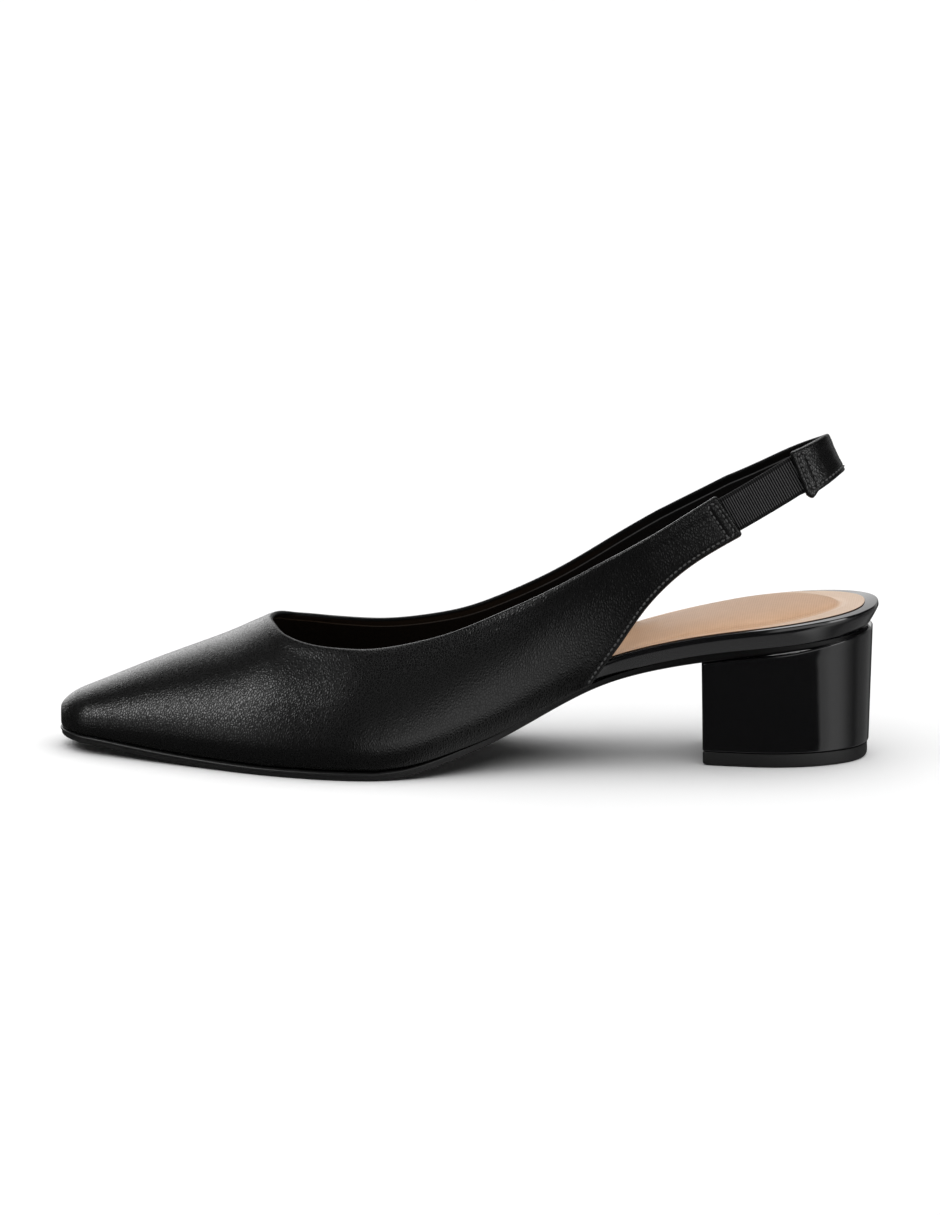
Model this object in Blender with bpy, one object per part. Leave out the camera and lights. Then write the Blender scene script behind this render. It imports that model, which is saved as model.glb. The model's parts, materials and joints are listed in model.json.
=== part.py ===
"""Slingback pump with a low block heel, left shoe.

Pieces: upper, elastic gore, footbed, sock, outsole, heel block and top piece.
Metres, +Z up. The toe points to -X and the outer side of the foot to -Y.
A station is a distance along the shoe from the toe tip; sizes in the tables are millimetres.
"""

import math

import bmesh
import bpy
import numpy as np

MM = 0.001

# Driving dimensions: the last gives the inside of the upper, and the leather goes outside it
SHOE_LENGTH = 256.0
WALL = 1.6
GAP = 0.3
SEWN_GAP = 0.4

# Toe and heel seat: how the plan outline closes at both ends
TOE_TIP = 1.0
TOE_RADIUS = 9.0
TOE_TOP_RADIUS = 6.0
TOE_FRONT_SHARE = 0.66
SEAT_START = 216.0
SEAT_ROUNDNESS = 2.3

# Flat part of the tread under the ball of the foot
TREAD_FRONT = 70.0
TREAD_BACK = 104.0

# Sections of the last. Outer and inner are the feather edge's distances from the axis, rise is the
# sole's height above the floor, crest the top of the section, lean how soon the wall turns in, and
# bulge how far the wall swells out over the feather edge.
LAST_COLUMNS = ("station", "axis", "outer", "inner", "rise", "crest", "lean", "bulge")
LAST_ROWS = (
    (0, 3.0, 9.5, 9.5, 3.6, 13.8, 2.6, 0.6),
    (12, 2.6, 14.3, 13.8, 2.9, 18.6, 2.4, 0.9),
    (28, 2.0, 21.2, 20.6, 1.6, 25.2, 2.2, 1.3),
    (44, 1.5, 28.0, 27.0, 0.6, 31.3, 2.0, 1.8),
    (55, 1.0, 32.5, 31.0, 0.2, 35.7, 1.85, 2.1),
    (67, 0.6, 37.2, 34.2, 0.0, 40.9, 1.7, 2.3),
    (82, 0.3, 41.5, 35.8, 0.0, 43.6, 1.6, 2.5),
    (96, 0.0, 43.4, 34.2, 0.0, 45.8, 1.6, 2.6),
    (112, 0.0, 41.8, 30.5, 1.2, 48.6, 1.6, 2.6),
    (126, 0.0, 37.6, 26.5, 5.3, 52.5, 1.7, 2.3),
    (140, 0.0, 32.8, 23.8, 10.6, 59.5, 1.8, 2.0),
    (155, 0.0, 28.5, 22.3, 18.2, 71.0, 2.0, 1.5),
    (170, 0.0, 25.7, 21.8, 25.4, 95.0, 2.0, 1.0),
    (186, 0.0, 25.0, 23.2, 30.2, 140.0, 2.0, 0.5),
    (202, 0.0, 26.0, 25.2, 33.3, 165.0, 2.0, 0.2),
    (222, 0.0, 27.5, 27.5, 36.1, 175.0, 2.0, 0.0),
    (256, 0.0, 27.5, 27.5, 39.8, 180.0, 2.0, 0.0),
)
BULGE_HEIGHT = 9.0

# Top line of the upper, from the throat to the end of the quarter's strap
THROAT = 67.0
THROAT_SPAN = 26.0
TOPLINE_COLUMNS = ("station", "outer", "inner")
TOPLINE_ROWS = (
    (67, 40.9, 40.9),
    (69, 40.3, 40.4),
    (71, 39.2, 39.4),
    (76, 37.5, 38.1),
    (83, 36.5, 37.0),
    (90, 36.4, 36.3),
    (97, 36.7, 36.0),
    (114, 39.2, 38.0),
    (125, 42.1, 40.6),
    (139, 47.7, 46.1),
    (155, 55.4, 53.9),
    (170, 64.0, 62.9),
    (186, 73.3, 72.2),
    (201, 82.6, 80.2),
    (207, 86.3, 83.5),
)

# Back edge of the quarter, which becomes the lower edge of its strap
LAST_UPRIGHT_ROW = 146.0
QUARTER_CORNER = 168.0
CORNER_TOP = 157.0
STRAP_COLUMNS = ("step", "bottom_station", "bottom_height", "top_station")
STRAP_ROWS = (
    (0, 168.0, 27.2, 157.0),
    (1, 171.7, 32.2, 161.0),
    (2, 178.3, 41.0, 168.0),
    (3, 186.6, 52.5, 178.5),
    (4, 199.3, 64.4, 191.5),
    (5, 214.5, 74.6, 207.0),
)

# Sling round the back of the heel: turn is the angle round the heel, 0 on the inner side. Behind the
# ankle station the wall leaves the heel seat's outline and closes round the back of the foot.
ANKLE_STATION = 187.0
ANKLE_ROUNDNESS = 2.25
SLING_BACK = 239.0
SLING_BACK_HEIGHT = 100.9
SLING_BACK_LEAN = 0.45
SLING_COLUMNS = ("step", "bottom_turn", "bottom_height", "top_turn", "top_height")
SLING_ROWS = (
    (0, 22.8, 71.6, 16.9, 83.5),
    (1, 45.0, 79.3, 41.7, 93.0),
    (2, 67.0, 85.6, 66.0, 98.4),
    (3, 90.0, 89.2, 90.0, 101.1),
    (4, 110.0, 88.2, 110.0, 100.9),
    (5, 128.8, 84.6, 129.8, 98.4),
)

# Elastic gore between the quarter's strap and the sling
GORE_THICKNESS = 1.2
GORE_WIDTH = 12.0
GORE_TUCK = 8.0

# Layers of the bottom
SOLE_COLUMNS = ("station", "sole", "sole_inset", "footbed", "footbed_inset", "sock")
SOLE_ROWS = (
    (0, 2.5, -1.3, 2.0, 0.5, 0.6),
    (20, 2.5, -1.9, 2.0, 0.5, 0.6),
    (45, 2.5, -2.3, 2.0, 0.5, 0.6),
    (75, 2.5, -2.4, 2.0, 0.5, 0.6),
    (104, 2.5, -2.2, 2.2, 0.5, 0.6),
    (130, 2.1, -0.8, 3.0, 0.5, 0.6),
    (150, 1.9, 1.0, 4.4, 0.5, 0.6),
    (168, 1.9, 2.2, 5.6, 0.5, 0.6),
    (185, 2.0, 3.0, 5.9, 0.2, 0.6),
    (205, 2.4, 3.6, 6.0, 0.0, 0.6),
    (230, 2.1, 3.6, 6.5, 0.0, 0.6),
    (256, 1.8, 3.6, 6.8, 0.0, 0.6),
)
SOLE_LIP = 0.45
SOLE_LIP_HEIGHT = 0.7
SOLE_LIP_FADE = 26.0
SOLE_CHAMFER = 0.6
FOOTBED_UNDERCUT = 3.2
FOOTBED_EDGE = ((1.0, 0.0), (0.55, 0.45), (0.0, 0.82), (0.2, 1.0))
SOCK_MARGIN = 3.0
SOCK_FLANGE = 4.5
SOCK_SHARES = (-1.0, -0.8, -0.5, 0.0, 0.5, 0.8, 1.0)
SOCK_DOME = 2.5
SOCK_DOME_FRONT = 168.0
SOCK_DOME_BACK = 247.0
SOCK_DOME_SKEW = 0.8
SOCK_DOME_FULLNESS = 0.7

# Heel
HEEL_BREAST = 203.0
HEEL_INSET = 1.8
HEEL_TAPER = 1.4
HEEL_TOP_WIDTH = 0.97
HEEL_BOTTOM_WIDTH = 0.92
HEEL_BREAST_WIDTH = 0.92
HEEL_BELLY = 232.0
HEEL_CORNER = 1.6
TOP_PIECE_HEIGHT = 4.4
TOP_PIECE_INSET = 0.5
TOP_PIECE_ROUND = 1.0

# One material for each piece
MATERIAL_COLUMNS = ("piece", "material", "colour", "roughness", "coat")
MATERIAL_ROWS = (
    ("upper", "black_leather", (0.012, 0.012, 0.012), 0.45, 0.0),
    ("elastic_gore", "black_elastic", (0.02, 0.02, 0.02), 0.85, 0.0),
    ("footbed", "footbed_patent", (0.008, 0.008, 0.009), 0.15, 1.0),
    ("sock", "tan_sock", (0.58, 0.37, 0.22), 0.6, 0.0),
    ("outsole", "sole_rubber", (0.014, 0.014, 0.014), 0.5, 0.0),
    ("heel_block", "heel_patent", (0.008, 0.008, 0.009), 0.12, 1.0),
    ("top_piece", "lift_rubber", (0.016, 0.016, 0.016), 0.6, 0.0),
)

# Mesh density: points across a row, rows along each stretch of the upper, stations along the bottom
ROW_POINTS = 11
LINE_SAMPLES = 61
NOSE_ROWS = 7
VAMP_ROWS = 14
THROAT_ROWS = 9
QUARTER_ROWS = 9
CORNER_ROWS = 5
STRAP_ROW_COUNT = 13
SLING_ROW_COUNT = 21
GORE_ROWS = 17
GORE_POINTS = 5
OUTLINE_STATIONS = 60


class Table:
    """A short table with named columns, each read as a smooth curve over the first one."""

    def __init__(self, columns, rows):
        self.at = np.array([row[0] for row in rows], float)
        self.curves = {}
        for index, name in enumerate(columns[1:], start=1):
            values = np.array([row[index] for row in rows], float)
            self.curves[name] = (values, self.bends(values))

    def bends(self, values):
        """Second derivatives of the natural cubic curve through the column."""
        count = len(self.at)
        steps = np.diff(self.at)
        slopes = np.diff(values) / steps
        matrix = np.eye(count)
        right = np.zeros(count)
        for i in range(1, count - 1):
            matrix[i, i - 1 : i + 2] = steps[i - 1], 2 * (steps[i - 1] + steps[i]), steps[i]
            right[i] = 6 * (slopes[i] - slopes[i - 1])
        return np.linalg.solve(matrix, right)

    def __call__(self, name, at):
        values, bends = self.curves[name]
        at = min(max(at, self.at[0]), self.at[-1])
        i = min(int(np.searchsorted(self.at, at, side="right")) - 1, len(self.at) - 2)
        step = self.at[i + 1] - self.at[i]
        b = (at - self.at[i]) / step
        a = 1 - b
        curve = (a**3 - a) * bends[i] + (b**3 - b) * bends[i + 1]
        return a * values[i] + b * values[i + 1] + curve * step * step / 6


LAST = Table(LAST_COLUMNS, LAST_ROWS)
TOPLINE = Table(TOPLINE_COLUMNS, TOPLINE_ROWS)
STRAP = Table(STRAP_COLUMNS, STRAP_ROWS)
SLING = Table(SLING_COLUMNS, SLING_ROWS)
SOLE = Table(SOLE_COLUMNS, SOLE_ROWS)

SIDES = {"outer": -1.0, "inner": 1.0}


def quarter_round(share):
    """0 to 1 along a quarter circle that starts upright."""
    share = min(max(share, 0.0), 1.0)
    return math.sqrt(1 - (1 - share) ** 2)


def half_width(side, station):
    """Distance from the axis to the feather edge, closed round at the toe and at the heel seat."""
    width = LAST(side, station) * quarter_round((station - TOE_TIP) / TOE_RADIUS)
    if station > SEAT_START:
        share = min((station - SEAT_START) / (SHOE_LENGTH - SEAT_START), 1.0)
        width *= (1 - share**SEAT_ROUNDNESS) ** (1 / SEAT_ROUNDNESS)
    return width


def sole_rise(station):
    """Height of the sole's underside above the floor."""
    if TREAD_FRONT <= station <= TREAD_BACK:
        return 0.0
    return max(LAST("rise", station), 0.0)


def sole_top(station):
    return sole_rise(station) + SOLE("sole", station)


def feather(station):
    """Height of the last's bottom edge; the leather outside it dips as the wall leans out."""
    dip = math.sin(math.atan2(2 * LAST("bulge", station), BULGE_HEIGHT))
    return sole_top(station) + GAP + WALL * dip


def crest(station):
    """Height of the top of the last's section."""
    front = TOE_FRONT_SHARE + (1 - TOE_FRONT_SHARE) * quarter_round((station - TOE_TIP) / TOE_TOP_RADIUS)
    low = feather(station)
    return low + (LAST("crest", station) - low) * front


def wall_point(side, station, turn):
    """Point of the last's wall; turn runs from 0 at the feather edge to a quarter turn at the crest."""
    low = feather(station)
    up = math.sin(turn) ** (2 / LAST("lean", station))
    height = up * (crest(station) - low)
    share = min(height / BULGE_HEIGHT, 1.0)
    nose = quarter_round((station - TOE_TIP) / TOE_RADIUS)
    swell = LAST("bulge", station) * nose * (1 - (1 - share) ** 2)
    out = (half_width(side, station) + swell) * math.cos(turn)
    return np.array((station, LAST("axis", station) + SIDES[side] * out, low + height))


def wall_turn(station, height):
    """The turn at which the wall reaches a height."""
    low = feather(station)
    up = min(max((height - low) / (crest(station) - low), 0.0), 1.0)
    return math.asin(min(up ** (LAST("lean", station) / 2), 1.0))


def even_row(points):
    """The same line with its points evenly spaced."""
    points = np.array(points)
    lengths = np.concatenate(([0.0], np.cumsum(np.linalg.norm(np.diff(points, axis=0), axis=1))))
    wanted = np.linspace(0.0, lengths[-1], ROW_POINTS)
    return np.stack([np.interp(wanted, lengths, points[:, k]) for k in range(3)], axis=1)


def upright_row(side, station):
    """Row of the upper from the feather edge to the crest or, behind the throat, to the top line."""
    top = math.pi / 2 if station <= THROAT else wall_turn(station, TOPLINE(side, station))
    turns = np.linspace(0.0, top, LINE_SAMPLES)
    return even_row([wall_point(side, station, turn) for turn in turns])


def side_row(side, bottom, top):
    """Row of the wall between two points that are given as station and height."""
    points = []
    for share in np.linspace(0.0, 1.0, LINE_SAMPLES):
        station, height = (1 - share) * np.array(bottom) + share * np.array(top)
        points.append(side_point(side, station, height))
    return even_row(points)


def strap_row(side, step):
    """Row across the quarter's strap; step counts along its table."""
    top = STRAP("top_station", step)
    drop = (TOPLINE("outer", top) - TOPLINE(side, top)) * step / STRAP_ROWS[-1][0]
    bottom = (STRAP("bottom_station", step), STRAP("bottom_height", step) - drop)
    return side_row(side, bottom, (top, TOPLINE(side, top)))


def back_of_foot(height):
    """Station of the back of the foot, which leans forward as it rises."""
    return SLING_BACK + SLING_BACK_LEAN * (SLING_BACK_HEIGHT - height)


def sling_point(turn_degrees, height):
    """Point where the wall goes round the back of the heel."""
    turn = math.radians(turn_degrees)
    side = "inner" if turn_degrees < 90 else "outer"
    across = wall_point(side, ANKLE_STATION, wall_turn(ANKLE_STATION, height))[1]
    power = 2 / ANKLE_ROUNDNESS
    station = ANKLE_STATION + (back_of_foot(height) - ANKLE_STATION) * math.sin(turn) ** power
    return np.array((station, across * abs(math.cos(turn)) ** power, height))


def side_point(side, station, height):
    """Point of the wall at a station and height, on the last or, behind the ankle, round the heel."""
    if station <= ANKLE_STATION:
        return wall_point(side, station, wall_turn(station, height))
    share = min((station - ANKLE_STATION) / (back_of_foot(height) - ANKLE_STATION), 1.0)
    turn = math.degrees(math.asin(share ** (ANKLE_ROUNDNESS / 2)))
    return sling_point(turn if side == "inner" else 180 - turn, height)


def sling_row(step):
    """Row across the sling; step counts along its table."""
    points = []
    for share in np.linspace(0.0, 1.0, LINE_SAMPLES):
        turn = (1 - share) * SLING("bottom_turn", step) + share * SLING("top_turn", step)
        height = (1 - share) * SLING("bottom_height", step) + share * SLING("top_height", step)
        points.append(sling_point(turn, height))
    return even_row(points)


def upper_rows(side):
    """Rows of one side of the upper, from the toe tip back to the end of its strap."""
    turns = np.linspace(0.0, math.pi / 2, NOSE_ROWS)
    nose = [TOE_TIP + TOE_RADIUS * (1 - math.cos(turn)) for turn in turns]
    vamp = list(np.linspace(nose[-1], THROAT, VAMP_ROWS)[1:])
    throat = [THROAT + THROAT_SPAN * share**2 for share in np.linspace(0.0, 1.0, THROAT_ROWS)[1:]]
    quarter = list(np.linspace(throat[-1], LAST_UPRIGHT_ROW, QUARTER_ROWS)[1:])
    rows = [upright_row(side, station) for station in nose + vamp + throat + quarter]
    for share in np.linspace(0.0, 1.0, CORNER_ROWS)[1:-1]:
        bottom = LAST_UPRIGHT_ROW + share * (QUARTER_CORNER - LAST_UPRIGHT_ROW)
        top = LAST_UPRIGHT_ROW + share * (CORNER_TOP - LAST_UPRIGHT_ROW)
        rows.append(side_row(side, (bottom, feather(bottom)), (top, TOPLINE(side, top))))
    rows += [strap_row(side, step) for step in np.linspace(0.0, STRAP_ROWS[-1][0], STRAP_ROW_COUNT)]
    return rows


def add_rows(mesh, rows, flip):
    """Grid of faces through rows of points."""
    lines = [[mesh.verts.new(point) for point in row] for row in rows]
    for first, second in zip(lines, lines[1:]):
        for i in range(len(first) - 1):
            corners = (first[i], first[i + 1], second[i + 1], second[i])
            mesh.faces.new(corners[::-1] if flip else corners)


def finish_mesh(name, mesh, merge=0.01):
    """Object in the shoe's own frame from a mesh in millimetres."""
    bmesh.ops.remove_doubles(mesh, verts=mesh.verts, dist=merge)
    bmesh.ops.scale(mesh, vec=(MM, MM, MM), verts=mesh.verts)
    data = bpy.data.meshes.new(name)
    mesh.to_mesh(data)
    mesh.free()
    data.shade_smooth()
    data.set_sharp_from_angle(angle=math.radians(40))
    data.materials.append(make_material(name))
    piece = bpy.data.objects.new(name, data)
    bpy.context.scene.collection.objects.link(piece)
    piece.parent = bpy.data.objects["shoe"]
    return piece


def add_wall(piece, thickness):
    """Thickness towards the outside of the shoe; the faces of the mesh look into it."""
    wall = piece.modifiers.new("Wall", "SOLIDIFY")
    wall.thickness = thickness * MM
    wall.offset = -1
    wall.use_even_offset = True
    wall.use_rim = True


def make_material(piece):
    """The material that the table gives for a piece."""
    rows = [dict(zip(MATERIAL_COLUMNS, row)) for row in MATERIAL_ROWS]
    row = next(row for row in rows if row["piece"] == piece)
    material = bpy.data.materials.new(row["material"])
    material.use_nodes = True
    shader = material.node_tree.nodes["Principled BSDF"]
    shader.inputs["Base Color"].default_value = (*row["colour"], 1.0)
    shader.inputs["Roughness"].default_value = row["roughness"]
    shader.inputs["Metallic"].default_value = 0.0
    shader.inputs["Coat Weight"].default_value = row["coat"]
    return material


def make_upper():
    """Vamp, both quarters and the sling: one wall, open at the top line, the back and underneath."""
    mesh = bmesh.new()
    add_rows(mesh, upper_rows("outer"), flip=False)
    sling = [sling_row(step) for step in np.linspace(0.0, SLING_ROWS[-1][0], SLING_ROW_COUNT)[1:]]
    add_rows(mesh, upper_rows("inner") + sling, flip=True)
    piece = finish_mesh("upper", mesh)
    add_wall(piece, WALL)


def make_gore():
    """Elastic web, tucked behind the ends of the quarter's strap and of the sling."""
    strap_end = strap_row("outer", STRAP_ROWS[-1][0])[[0, -1]].mean(axis=0)
    sling_end = sling_row(SLING_ROWS[-1][0])[[0, -1]].mean(axis=0)
    start, end = strap_end[[0, 2]], sling_end[[0, 2]]
    length = np.linalg.norm(end - start)
    along = (end - start) / length
    across = np.array((-along[1], along[0])) * GORE_WIDTH / 2
    shares = np.linspace(-1.0, 1.0, GORE_POINTS)
    rows = []
    for place in np.linspace(-GORE_TUCK, length + GORE_TUCK, GORE_ROWS):
        middle = start + along * place
        rows.append([side_point("outer", *(middle + share * across)) for share in shares])
    mesh = bmesh.new()
    add_rows(mesh, rows, flip=False)
    mesh.normal_update()
    moves = [(vert, vert.normal.copy()) for vert in mesh.verts]
    for vert, normal in moves:
        vert.co += normal * (SEWN_GAP + GORE_THICKNESS)
    piece = finish_mesh("elastic_gore", mesh)
    add_wall(piece, GORE_THICKNESS)


def outline(inset):
    """Outer and inner plan points at each station, moved in from the feather edge by inset(station)."""
    angles = np.linspace(0.0, math.pi, OUTLINE_STATIONS)
    stations = TOE_TIP + (SHOE_LENGTH - TOE_TIP) * (1 - np.cos(angles)) / 2
    edge = {}
    for side, sign in SIDES.items():
        edge[side] = np.array([(s, LAST("axis", s) + sign * half_width(side, s)) for s in stations])
    ring = np.concatenate((edge["outer"], edge["inner"][-2:0:-1]))
    tangent = np.roll(ring, -1, axis=0) - np.roll(ring, 1, axis=0)
    normal = np.stack((-tangent[:, 1], tangent[:, 0]), axis=1)
    normal /= np.linalg.norm(normal, axis=1, keepdims=True)
    ring = ring + normal * np.array([[inset(point[0])] for point in ring])
    last = OUTLINE_STATIONS - 1
    inner = np.concatenate((ring[:1], ring[:last:-1], ring[last : last + 1]))
    return ring[: last + 1], inner


def add_loops(mesh, loops):
    """Skin through closed loops; a loop at either end that has closed to a line merges shut."""
    rings = [[mesh.verts.new(point) for point in loop] for loop in loops]
    for first, second in zip(rings, rings[1:]):
        for i in range(len(first)):
            j = (i + 1) % len(first)
            mesh.faces.new((first[i], first[j], second[j], second[i]))


def make_slab(name, levels, cover=None):
    """Layer of the bottom from the toe to the heel seat.

    Each level of its side is a pair of functions of the station, the inset and the height, from the
    underside up. The cover, if there is one, gives the points between the two top edges.
    """
    sides = [(outline(inset), height) for inset, height in levels]
    loops = []
    for i in range(OUTLINE_STATIONS):
        left = [(*edge[0][i], height(edge[0][i][0])) for edge, height in sides]
        right = [(*edge[1][i], height(edge[1][i][0])) for edge, height in sides]
        between = cover(left[-1], right[-1]) if cover else []
        loops.append(left + between + right[::-1])
    mesh = bmesh.new()
    add_loops(mesh, loops)
    bmesh.ops.recalc_face_normals(mesh, faces=mesh.faces)
    finish_mesh(name, mesh)


def make_outsole():
    """Thin sole with a chamfered lower edge and a fine lip along the top of its side."""

    def edge(station):
        return SOLE("sole_inset", station)

    def lip(station):
        fade = (TREAD_BACK + SOLE_LIP_FADE - station) / SOLE_LIP_FADE
        return edge(station) - SOLE_LIP * min(max(fade, 0.0), 1.0)

    levels = (
        (lambda s: edge(s) + SOLE_CHAMFER, sole_rise),
        (edge, lambda s: sole_rise(s) + SOLE_CHAMFER),
        (edge, lambda s: sole_top(s) - 1.5 * SOLE_LIP_HEIGHT),
        (lip, lambda s: sole_top(s) - SOLE_LIP_HEIGHT),
        (lip, sole_top),
    )
    make_slab("outsole", levels)


def footbed_height(share):
    """Height function of the footbed's edge at a share of its thickness."""
    return lambda station: sole_top(station) + GAP + share * SOLE("footbed", station)


def make_footbed():
    """Insole board from toe to heel, its wrapped edge undercut where it shows."""

    def edge(share):
        at_rear = SOLE_ROWS[-1][3]
        return lambda s: SOLE("footbed_inset", s) + share * FOOTBED_UNDERCUT * SOLE("footbed", s) / at_rear

    levels = [(edge(inset), footbed_height(share)) for inset, share in FOOTBED_EDGE]
    make_slab("footbed", levels)


def sock_dome(station, share):
    """Extra height of the heel cushion; share runs from -1 to 1 between its edges."""
    if not SOCK_DOME_FRONT < station < SOCK_DOME_BACK:
        return 0.0
    along = (station - SOCK_DOME_FRONT) / (SOCK_DOME_BACK - SOCK_DOME_FRONT)
    swell = math.sin(math.pi * along**SOCK_DOME_SKEW)
    return SOCK_DOME * swell**SOCK_DOME_FULLNESS * max(1 - share * share, 0.0)


def make_sock():
    """Padded sock liner with a flat flange and a cushion under the heel."""

    def edge(station):
        return SOLE("footbed_inset", station) + SOCK_MARGIN

    def under(station):
        return footbed_height(1.0)(station) + GAP

    def over(station):
        return under(station) + SOLE("sock", station)

    def cover(left, right):
        left, right = np.array(left[:2]), np.array(right[:2])
        half = np.linalg.norm(right - left) / 2
        cushion = max(half - SOCK_FLANGE, 0.3 * half)
        points = []
        for share in SOCK_SHARES:
            across = share * cushion / half if half > 0.01 else 0.0
            point = (left * (1 - across) + right * (1 + across)) / 2
            points.append((*point, over(point[0]) + sock_dome(point[0], share)))
        return points

    make_slab("sock", ((edge, under), (edge, over)), cover)


def heel_outline(inset, width):
    """D-shaped plan of the heel: the seat's outline, drawn in towards a straight breast."""
    outer, inner = outline(lambda station: inset)
    sides = []
    for side in (outer, inner):
        front = np.interp(HEEL_BREAST, side[:, 0], side[:, 1])
        corner = (HEEL_BREAST + HEEL_CORNER, front)
        turned_in = (HEEL_BREAST, front - math.copysign(HEEL_CORNER, front))
        side = side[side[:, 0] > HEEL_BREAST + 2 * HEEL_CORNER]
        sides.append(np.concatenate(((turned_in, corner), side)))
    ring = np.concatenate((sides[0], sides[1][-2::-1]))
    ahead = np.clip((HEEL_BELLY - ring[:, 0]) / (HEEL_BELLY - HEEL_BREAST), 0.0, 1.0)
    ring[:, 1] *= width * (1 - (1 - HEEL_BREAST_WIDTH) * ahead**2)
    return ring


def add_column(mesh, levels):
    """Solid through stacked rings with flat caps."""
    add_loops(mesh, levels)
    mesh.verts.ensure_lookup_table()
    count = len(levels[0])
    mesh.faces.new(mesh.verts[:count])
    mesh.faces.new(mesh.verts[-count:])
    bmesh.ops.recalc_face_normals(mesh, faces=mesh.faces)


def make_heel_block():
    """Block heel: its top follows the underside of the sole, and its sides draw in towards the floor."""
    bottom = TOP_PIECE_HEIGHT + GAP
    levels = []
    for share in (0.0, 0.5, 1.0):
        width = share * HEEL_TOP_WIDTH + (1 - share) * HEEL_BOTTOM_WIDTH
        ring = heel_outline(HEEL_INSET + HEEL_TAPER * (1 - share), width)
        level = []
        for station, across in ring:
            top = sole_rise(station) - GAP
            level.append((station, across, bottom + share * (top - bottom)))
        levels.append(level)
    mesh = bmesh.new()
    add_column(mesh, levels)
    finish_mesh("heel_block", mesh)


def make_top_piece():
    """Rubber lift under the heel block, its lower edge rounded off."""
    inset = HEEL_INSET + HEEL_TAPER + TOP_PIECE_INSET
    levels = []
    for share in (0.0, 0.5, 1.0):
        rounded = TOP_PIECE_ROUND * (1 - quarter_round(share))
        ring = heel_outline(inset + rounded, HEEL_BOTTOM_WIDTH)
        levels.append([(*point, share * TOP_PIECE_ROUND) for point in ring])
    levels.append([(*point, TOP_PIECE_HEIGHT) for point in heel_outline(inset, HEEL_BOTTOM_WIDTH)])
    mesh = bmesh.new()
    add_column(mesh, levels)
    finish_mesh("top_piece", mesh)


def centre_on_floor(shoe):
    """Put the frame's origin on the floor under the middle of the shoe's box."""
    bpy.context.view_layer.update()
    graph = bpy.context.evaluated_depsgraph_get()
    boxes = [piece.evaluated_get(graph).bound_box for piece in shoe.children]
    corners = np.array([corner for box in boxes for corner in box])
    middle = (corners.min(axis=0) + corners.max(axis=0)) / 2
    shoe.location = (-middle[0], -middle[1], -corners[:, 2].min())


def main():
    for old in list(bpy.data.objects):
        bpy.data.objects.remove(old)
    shoe = bpy.data.objects.new("shoe", None)
    bpy.context.scene.collection.objects.link(shoe)
    make_upper()
    make_gore()
    make_footbed()
    make_sock()
    make_outsole()
    make_heel_block()
    make_top_piece()
    centre_on_floor(shoe)


main()
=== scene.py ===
"""Looks of a slingback pump with a low block heel, the left shoe of a pair.

The sections follow the shoe as it is put together on its last, and each piece takes the place of its
solid in the frame. Sizes in the tables are millimetres. A station is a distance along the shoe from
the toe tip. The toe points to -X, and the outer side of the foot is at -Y.
"""

import json
import math

import bmesh
import bpy
import numpy as np
from mathutils import Matrix, Vector
from mathutils.kdtree import KDTree

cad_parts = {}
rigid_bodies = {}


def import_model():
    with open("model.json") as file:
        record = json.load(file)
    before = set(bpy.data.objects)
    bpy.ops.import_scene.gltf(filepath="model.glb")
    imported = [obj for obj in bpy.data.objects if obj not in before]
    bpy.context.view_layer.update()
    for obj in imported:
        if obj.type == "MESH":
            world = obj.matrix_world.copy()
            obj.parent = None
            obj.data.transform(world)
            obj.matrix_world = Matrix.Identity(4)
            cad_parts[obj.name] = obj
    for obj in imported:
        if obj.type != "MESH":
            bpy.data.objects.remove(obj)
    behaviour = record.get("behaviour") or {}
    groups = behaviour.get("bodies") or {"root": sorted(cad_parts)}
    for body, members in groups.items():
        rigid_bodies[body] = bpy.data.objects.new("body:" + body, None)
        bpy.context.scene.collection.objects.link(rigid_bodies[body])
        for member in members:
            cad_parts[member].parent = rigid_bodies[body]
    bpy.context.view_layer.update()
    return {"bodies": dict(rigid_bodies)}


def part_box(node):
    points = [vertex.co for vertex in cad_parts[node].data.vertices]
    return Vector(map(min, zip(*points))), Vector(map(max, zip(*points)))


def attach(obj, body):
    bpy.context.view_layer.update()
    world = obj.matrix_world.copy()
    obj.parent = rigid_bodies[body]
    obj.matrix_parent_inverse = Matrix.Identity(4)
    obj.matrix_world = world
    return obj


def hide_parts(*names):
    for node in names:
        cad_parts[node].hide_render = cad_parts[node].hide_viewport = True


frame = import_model()
shoe_body = next(iter(frame["bodies"]))


# Footbed: a fibre insole board, cut to the bottom of the last and arched like it. Black patent is
# drawn over its edge, which is undercut so that it looks thin, and cemented on the underside.
# It goes on the last first, and the rest of the shoe is built up on it.
MM = 0.001
GAP = 0.3
SEAM = 0.002
SHOE_LENGTH = 256.0
TOE_TIP = 1.0
TOE_RADIUS = 9.0
SEAT_START = 216.0
SEAT_ROUNDNESS = 2.3
TREAD_FRONT = 70.0
TREAD_BACK = 104.0
OUTLINE_STATIONS = 281
FOOTBED_UNDERCUT = 3.2
FOOTBED_THICKEST = 6.8
FOOTBED_TOP_ROUND = 0.15
FOOTBED_BELLY = 0.8
FOOTBED_HOLLOW = 1.1
EDGE_LEVELS = 9
FOOTBED_ROUGHNESS = 0.12
FOOTBED_WAVE_DEPTH = 0.04
SHARP_ANGLE = 50.0
PATENT_BLACK = (0.0035, 0.0035, 0.004)
PATENT_COAT_ROUGHNESS = 0.04
PATENT_STRETCH = (0.35, 0.35, 1.0)
PATENT_WAVE = 7.0
PATENT_PORE = 0.7
PATENT_PORE_DEPTH = 0.002
PATENT_UNEVEN = 0.3
# The part of its range that a soft random pattern mostly keeps to
NOISE_SPAN = (0.3, 0.7)


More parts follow.
